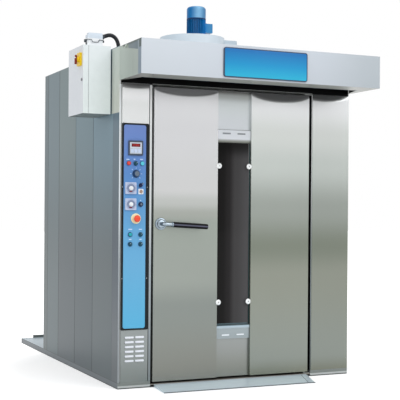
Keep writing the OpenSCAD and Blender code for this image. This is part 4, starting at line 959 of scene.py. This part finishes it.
def make_timer(label, at):
    """Square timer: a case with a scale, and on its dial a fluted disc, a hub and a red mark."""
    case = Shape().plate(rounded(75, 75, 5), 10, on_panel(at), 1.6, [disc(4.3, steps=24)])
    case.lathe([(29.5, 9.6), (34, 9.6), (33.4, 11), (32, 11.6), (30.6, 11.4)], on_panel(at), 64, ring=True)
    case.piece("timer_case_" + label, dial_grey, "housing_grey")
    ticks = Shape()
    for i in range(24):
        if i == 12:
            continue                            # the red mark covers the lowest one
        w, h = (1.6, 4.6) if i % 6 == 0 else (1.0, 3)
        ticks.plate(rounded(w, h, 0.4, steps=1), 0.5, on_panel(at, 11.3, -15 * i, 32), 0.15, steps=1)
    ticks.piece("timer_ticks_" + label, graphite, "housing_grey")
    body = "timer_dial_" + label
    dial = Shape().lathe([(0, 10.5), (26.4, 10.5), (27, 11.2), (27, 13.2), (26, 14.2), (13, 14.4), (12, 14),
        (0, 14)], on_panel(at), 64, flutes=36, flute=0.8, fluted=(2, 3))
    dial.lathe([(0, 5.5), (4, 5.5), (4, 10.6), (0, 10.6)], on_panel(at), 24)
    dial.piece("dial_disc_" + label, ring_grey, "housing_grey", body, [body])
    hub = Shape().lathe([(0, 13.9), (14, 13.9), (14, 16), (9.6, 17), (9, 18), (9, 21.4), (8, 22.4),
        (0, 22.5)], on_panel(at))
    hub.plate(rounded(2, 8, 0.8), 0.4, on_panel(at, 22.4, up=4), 0.15)
    hub.piece("dial_hub_" + label, white, "housing_grey", body)
    strip("dial_mark_" + label, mark_red, "housing_grey", (19, 7, 2), 0.8,
        on_panel((at[0] - 3, at[1] - 20), 14.2), body=body)


for label, at in TIMERS:
    make_timer(label, at)

strip("buzzer_case", white, "housing_grey", (34, 34, 4), 6, on_panel(BUZZER), bevel=1.2)
turned("buzzer_grille", plastic("buzzer_brown", 0xB0988C, 0.5), "housing_grey",
    [(0, 7.2), (2.4, 7.6), (3, 6.6), (5, 8.4), (6, 7), (8, 8.6), (9, 7.2), (10.6, 8.8), (11, 8.4),
    (11, 5.8)], on_panel(BUZZER), sides=36)

labels = Shape()
for x, z, w in ((57, 1455, 20), (101, 1457, 12), (149, 1457, 20), (76, 1012, 26), (145, 1012, 22),
        (76, 948, 18), (145, 948, 16), (145, 1196, 8)):
    labels.bar(w, 6, 1.5, 0.35, on_panel((x, z), 0.45))
labels.piece("label_patches", tick_look, "panel_blue")
scale = Shape()
for turn in range(135, -136, -45):
    scale.bar(3, 9, 1.2, 0.4, on_panel(KNOB, 0.45, turn, 36))
scale.piece("knob_scale", tick_look, "panel_blue")

for name, at, look, slot in (("red_button", RED, plastic("red_plastic", 0xD6423A, 0.26, 0.5),
        "red_plastic"), ("light_button", CYAN, plastic("cyan_plastic", 0x54C4D6, 0.22, 0.5),
        "turquoise_plastic")):
    turned(name + "_cap", look, slot, [(0, -14), (8, -14), (8, 4), (13, 4.2), (13, 8.4), (12.4, 10.4),
        (10.4, 12), (6, 12.8), (0, 13)], on_panel(at), body=name, stands_for=[name])
for name, at, turn in (("selector_heat", HEAT, -40), ("selector_steam", STEAM, -45),
        ("selector_fan", FAN, 35), ("selector_light", LIGHT, -45)):
    knob = Shape().lathe([(0, -14), (8, -14), (8, 1), (13, 1.2), (13, 7.4), (12.2, 9.2), (10.6, 10),
        (0, 10)], on_panel(at))
    knob.plate(rounded(8, 24, 3.6), 9, on_panel(at, 10, turn), 1.6)
    knob.piece(name + "_knob", teal, "teal_plastic", name, [name])
    Shape().bar(1.8, 9, 0.8, 0.3, on_panel(at, 18.85, turn, 6)).piece(name + "_line", tick_look,
        "teal_plastic", name)

turned("stop_mushroom", plastic("stop_red", 0xE84A30, 0.28, 0.5), "red_plastic",
    [(0, -10), (8, -10), (8, 16), (18, 16), (18, 24.4), (21, 25.4), (22, 27.6), (21, 30.6), (17, 33.6),
    (11, 35.4), (5, 36), (0, 36)], on_panel(STOP), body="emergency_stop", stands_for=["emergency_stop"],
    sides=56)
turned("steam_knob_body", plastic("knob_blue", 0x244268, 0.32, 0.2), "knob_dark",
    [(0, -13), (4, -13), (4, 1), (24, 1), (24, 4), (23, 6), (19.4, 6.4), (19, 8), (18.4, 18), (17.4, 19)],
    on_panel(KNOB), body="steam_knob", stands_for=["steam_knob"], sides=60, flutes=20, flute=0.9,
    fluted=(7, 8))
top = Shape().lathe([(0, 18.6), (15.6, 18.6), (15.6, 19.4), (14.8, 19.8), (0, 19.8)], on_panel(KNOB))
top.plate(rounded(4.4, 18, 2), 3, on_panel(KNOB, 19, up=9), 1)
top.piece("steam_knob_top", knob_cap, "knob_dark", "steam_knob")
lever = Shape().lathe([(0, -13), (4, -13), (4, 1), (12, 1), (12, 5.4), (11, 7), (0, 7)], on_panel(SWITCH))
lever.plate(rounded(10, 38, 4.4), 9, on_panel(SWITCH, 7, -42), 2)
lever.piece("program_lever", navy, "knob_dark", "program_switch", ["program_switch"])
Shape().bar(2, 12, 0.8, 0.3, on_panel(SWITCH, 15.9, -42, 11)).piece("program_line", tick_look, "knob_dark",
    "program_switch")
turned("small_knob_body", navy, "knob_dark", [(0, -13), (4, -13), (4, 1), (15, 1), (15, 10), (13.6, 12.6),
    (7.4, 13), (7, 13)], on_panel(SMALL), body="small_knob", stands_for=["small_knob"], sides=60, flutes=18,
    flute=0.9, fluted=(3, 4))
turned("small_knob_top", knob_cap, "knob_dark", [(0, 12.6), (7, 12.8), (7, 15.6), (6.2, 17), (0, 17)],
    on_panel(SMALL), body="small_knob", sides=32)

# ---- door

TILT = math.radians(3.4)                        # the handle hangs a little
HANDLE = place(286, 0, 1047, ((math.cos(TILT), 0, -math.sin(TILT)), (math.sin(TILT), 0, math.cos(TILT)),
    (0, -1, 0)))
REACH = 60                                      # from the door's face to the middle of the grip
ARM = HANDLE @ Matrix.Translation((0, 0, REACH)) @ Matrix.Rotation(math.radians(90), 4, "Y")
BEND_R = 16

lever = Shape().lathe([(0, -43), (8, -43), (8, 0.4), (39, 0.4), (39, 4), (38, 6.6), (35, 8.4), (30, 9.4),
    (28.4, 11), (27, 16), (24.6, 19), (20, 21.4), (14, 22), (13, 24), (13, 30), (0, 30)], HANDLE, 72)
bend = [(BEND_R * (1 - math.cos(a)), 0, REACH - BEND_R * (1 - math.sin(a)))
    for a in (math.pi / 2 * i / 8 for i in range(9))]
lever.sweep([(0, 0, 20), (0, 0, 32), *bend, (30, 0, REACH), (46, 0, REACH), (62, 0, REACH)],
    [13, 13] + [12.8] * 9 + [11.6, 11, 11], HANDLE, 28)
lever.lathe([(7, 61.5), (15.4, 61.5), (16.4, 60.4), (16.4, 56.6), (15.4, 55.4), (10.8, 55.4), (7, 56)], ARM,
    40, ring=True)
lever.plate(rounded(52, 18, 3), 10, HANDLE @ Matrix.Translation((-16, 0, -44)), 1)
lever.piece("handle_chrome", chrome, "handle_chrome", "handle", ["handle_lever"])
turned("handle_rubber", grip_look(), "grip_black", [(7, 62), (15, 62), (16.6, 62.6), (17.4, 64.4),
    (17.4, 70), (16.6, 71), (16.6, 73), (17.4, 74), (17.5, 150), (17.5, 220), (17.4, 292), (16.6, 293),
    (16.6, 295), (17.2, 296), (17.2, 300), (15.8, 303.6), (12, 305.6), (0, 306)], ARM, body="handle",
    stands_for=["handle_grip"], sides=56)
Shape().surround(243, 40, 1375, 1920, [(1, 0.2), (0.4, 2.4), (1.4, 4.6), (4, 6.6), (7.5, 7.6), (11, 6.6),
    (13.2, 4.4), (13.6, 2), (13, 0.2)], place(0, 76, 0, INWARD)).piece("door_seal", rubber, "seal_rubber",
    "door", ["door_gasket"])

GLASS_Y, GLASS_Z, GLASS_H = 16, 980, 1206
STRIP_X = 813.5
strip("bracket_slots_upper", plastic("slot_grey", 0x8C9296, 0.5), "bracket_steel", (60, 11, 3), 0.6,
    *(place(x, 12.2, 1646.5, FRONT) for x in (759, 868)), body="door")
strip("bracket_slots_lower", plastic("slot_white", 0xECF2F8), "bracket_steel", (56, 8.4, 3), 1.2,
    *(place(x, 13, 309.5, FRONT) for x in (761, 870)), body="door")
strip("bracket_line", plastic("line_grey", 0x787C7C, 0.5), "bracket_steel", (244, 3, 1), 0.8,
    place(STRIP_X, 12.6, 1670.6, FRONT), body="door")
turned("button_sockets", plastic("socket_grey", 0x606666), "bracket_steel",
    [(0, 3.4), (2.4, 3.4), (3, 5.2), (6.6, 5.4), (7, 5), (7, 1.6), (0, 1.6)],
    *(place(x, 1.0, z, FRONT) for x in (700, 920) for z in (529, 1430)), body="door", sides=24)
strip("glass_light_edge", steel("steel_edge", [(376, 0x3A3C3E), (900, 0x424446), (1250, 0x56585A),
    (1585, 0x747676)], 0.3, 0.2), "bracket_steel", (3.2, GLASS_H, 1), 0.6,
    place(926, GLASS_Y, GLASS_Z, FRONT), bevel=0.2, body="door")
strip("glass_dark_edge", plastic("glass_edge", 0x0E2C2E, 0.15, 0.6), "window_glass", (7.6, GLASS_H, 1), 0.5,
    place(932, GLASS_Y, GLASS_Z, FRONT), bevel=0.2, body="door")
foot_edge = Shape().plate(rounded(240, 8, 1), 0.5, place(812, GLASS_Y, 383, FRONT), 0.2)
foot_edge.plate(rounded(246, 5, 1), 0.5, place(STRIP_X, 8.2, 373.2, FRONT), 0.2)
foot_edge.piece("glass_foot_edge", plastic("foot_green", 0x465A60, 0.3), "window_glass", "door")

# ---- roof drive, switch box, plug


def on_motor(z, x=0.0, y=0.0, facing=TOP, turn=0.0):
    """Place on the drive motor, from its shaft."""
    return place(AXIS_X + x, AXIS_Y + y, z, facing, turn)


guard = Shape()
for r in (7, 12, 17):
    guard.lathe([(r - 0.8, 0), (r + 0.8, 0), (r + 0.8, 1.4), (r - 0.8, 1.4)], on_motor(2594), 40, ring=True)
for turn in (0, 60, 120):
    guard.plate(rounded(37, 1.8, 0.6), 1.2, on_motor(2592.8, turn=turn), 0.3)
guard.piece("cowl_guard", motor_blue, "motor_blue")
turned("cowl_ring", plastic("ring_navy", 0x0E3460, 0.35), "motor_blue",
    [(66, -5), (69, -5), (69.6, -3.5), (69.6, 3), (69, 4), (66, 4)], on_motor(2508), sides=72, ring=True)
bolts = Shape()
for a in (math.radians(45 + 90 * k) for k in range(4)):
    bolts.lathe([(0, 7), (5.4, 7), (6.4, 6), (6.4, 0), (0, 0)],
        on_motor(2377, 74.4 * math.cos(a), 74.4 * math.sin(a)), 6)
for x, y in ((66, 30), (66, -30), (112, 30), (112, -30)):
    bolts.lathe([(0, 3), (2.4, 2.7), (3.6, 1.4), (3.8, 0)], on_motor(2479, x, y), 16)
bolts.piece("motor_bolts", screw_look, "motor_blue")
strip("terminal_lid", motor_blue, "motor_blue", (70, 64, 5), 1.6, on_motor(2446, 113, facing=RIGHT),
    bevel=0.8)
turned("drum_rim", plastic("rim_grey", 0x96A6B0), "back_sheet",
    [(231, 2363.6), (232.8, 2364.2), (233, 2367), (231, 2367), (228, 2367)], place(777, AXIS_Y, 0),
    sides=96, ring=True)

ISOLATOR = place(-194, 208, 2098, LEFT)
turned("isolator_collar", yellow, "isolator_yellow", [(0, 14.4), (19, 14.4), (19, 20), (17, 23), (12, 24.4),
    (0, 24.4)], ISOLATOR, body="isolator", sides=40)
grip = Shape().lathe([(0, -30), (6, -30), (6, 14.6), (0, 14.6)], ISOLATOR, 24)
for w, h, r, height, up, out, bevel in ((9, 50, 3, 6, 0, 23, 1), (13, 40, 5, 13.8, -12, 24.6, 2.4),
        (12, 14, 4, 12, 21, 24.6, 2.4)):
    grip.plate(rounded(w, h, r), height, ISOLATOR @ Matrix.Translation((0, up, out)), bevel)
grip.piece("isolator_grip", dark_red, "isolator_red", "isolator", ["isolator_handle"])
Shape().plate(rounded(1.6, 12, 0.6, steps=2), 0.5, place(-198, 172, 1966, LEFT), 0.15,
    steps=1).piece("lock_slot", black_frame, "lock_steel", "box_lock")
Shape().surround(-456, 1754, -154, 2183, [(0, 0), (3, 0), (3, 1.2), (0, 1.2)],
    place(-156.2, 0, 0, LEFT)).piece("box_seal", rubber, "box_sheet")

clips = Shape()
for x, hook_x, w, h, z in ((-126, -129, 16, 20, 2237), (-15, -5, 14, 15, 2240)):
    clips.plate(rounded(14, 44, 6, -PLUG_Y, 2226), 3, place(x, 0, 0, LEFT), 0.6,
        [disc(4.6, -PLUG_Y, 2213, 24)])
    clips.plate(rounded(w, h, 4, -PLUG_Y, z), 10.6, place(hook_x, 0, 0, LEFT), 2)
clips.piece("plug_clips", clip_dark, "clip_steel", "plug_lever", ["connector_lever"])
PLUG_X = -72
bail_half = [(-127.5, 296, 2243), (-127.5, 277, 2244), (-121, 272, 2244), (-100, 272, 2244),
    (-96, 272, 2240), (-94, 272, 2232), (-89, 272, 2228.4), (-80, 272, 2228)]
bail = bail_half + [(2 * PLUG_X - x, y, z) for x, y, z in reversed(bail_half)]
Shape().sweep(bail, [2.2] * len(bail), place(0, 0, 0), 10).piece("plug_bail", clip_dark, "clip_steel",
    "plug_lever")
turned("plug_gland", clip_dark, "clip_steel", [(0, 0), (17, 0), (17, 6), (15.4, 8), (15.4, 16), (14.2, 18),
    (0, 18)], place(-22, PLUG_Y, 2269.6, RIGHT), sides=8)
turned("roof_gland", clip_dark, "clip_steel", [(0, 0), (24, 0), (24, 2.4), (19, 3.4), (17.4, 5), (17.4, 13),
    (15, 15), (0, 15)], place(100, PLUG_Y, 2168), sides=32)
turned("plug_screws", screw_look, "clip_steel", [(0, 3.4), (3.6, 3), (5, 1.4), (5.2, 0)],
    *(place(x, 282, 2268, FRONT) for x in (-112, -32)), sides=20)

# ---- rear

BURNER_X, BURNER_TOP = 850, 620                 # no screws below this height in the burner's row
turned("rear_screws", screw_look, "back_sheet", [(0, 3), (3.4, 2.7), (5.6, 1.2), (6, 0)],
    *(place(x, CABINET_D, z, REAR) for x in (40, 455, 850, 1245, 1660) for z in (120, 620, 1120, 1620, 2100)
    if x != BURNER_X or z > BURNER_TOP), sides=16)
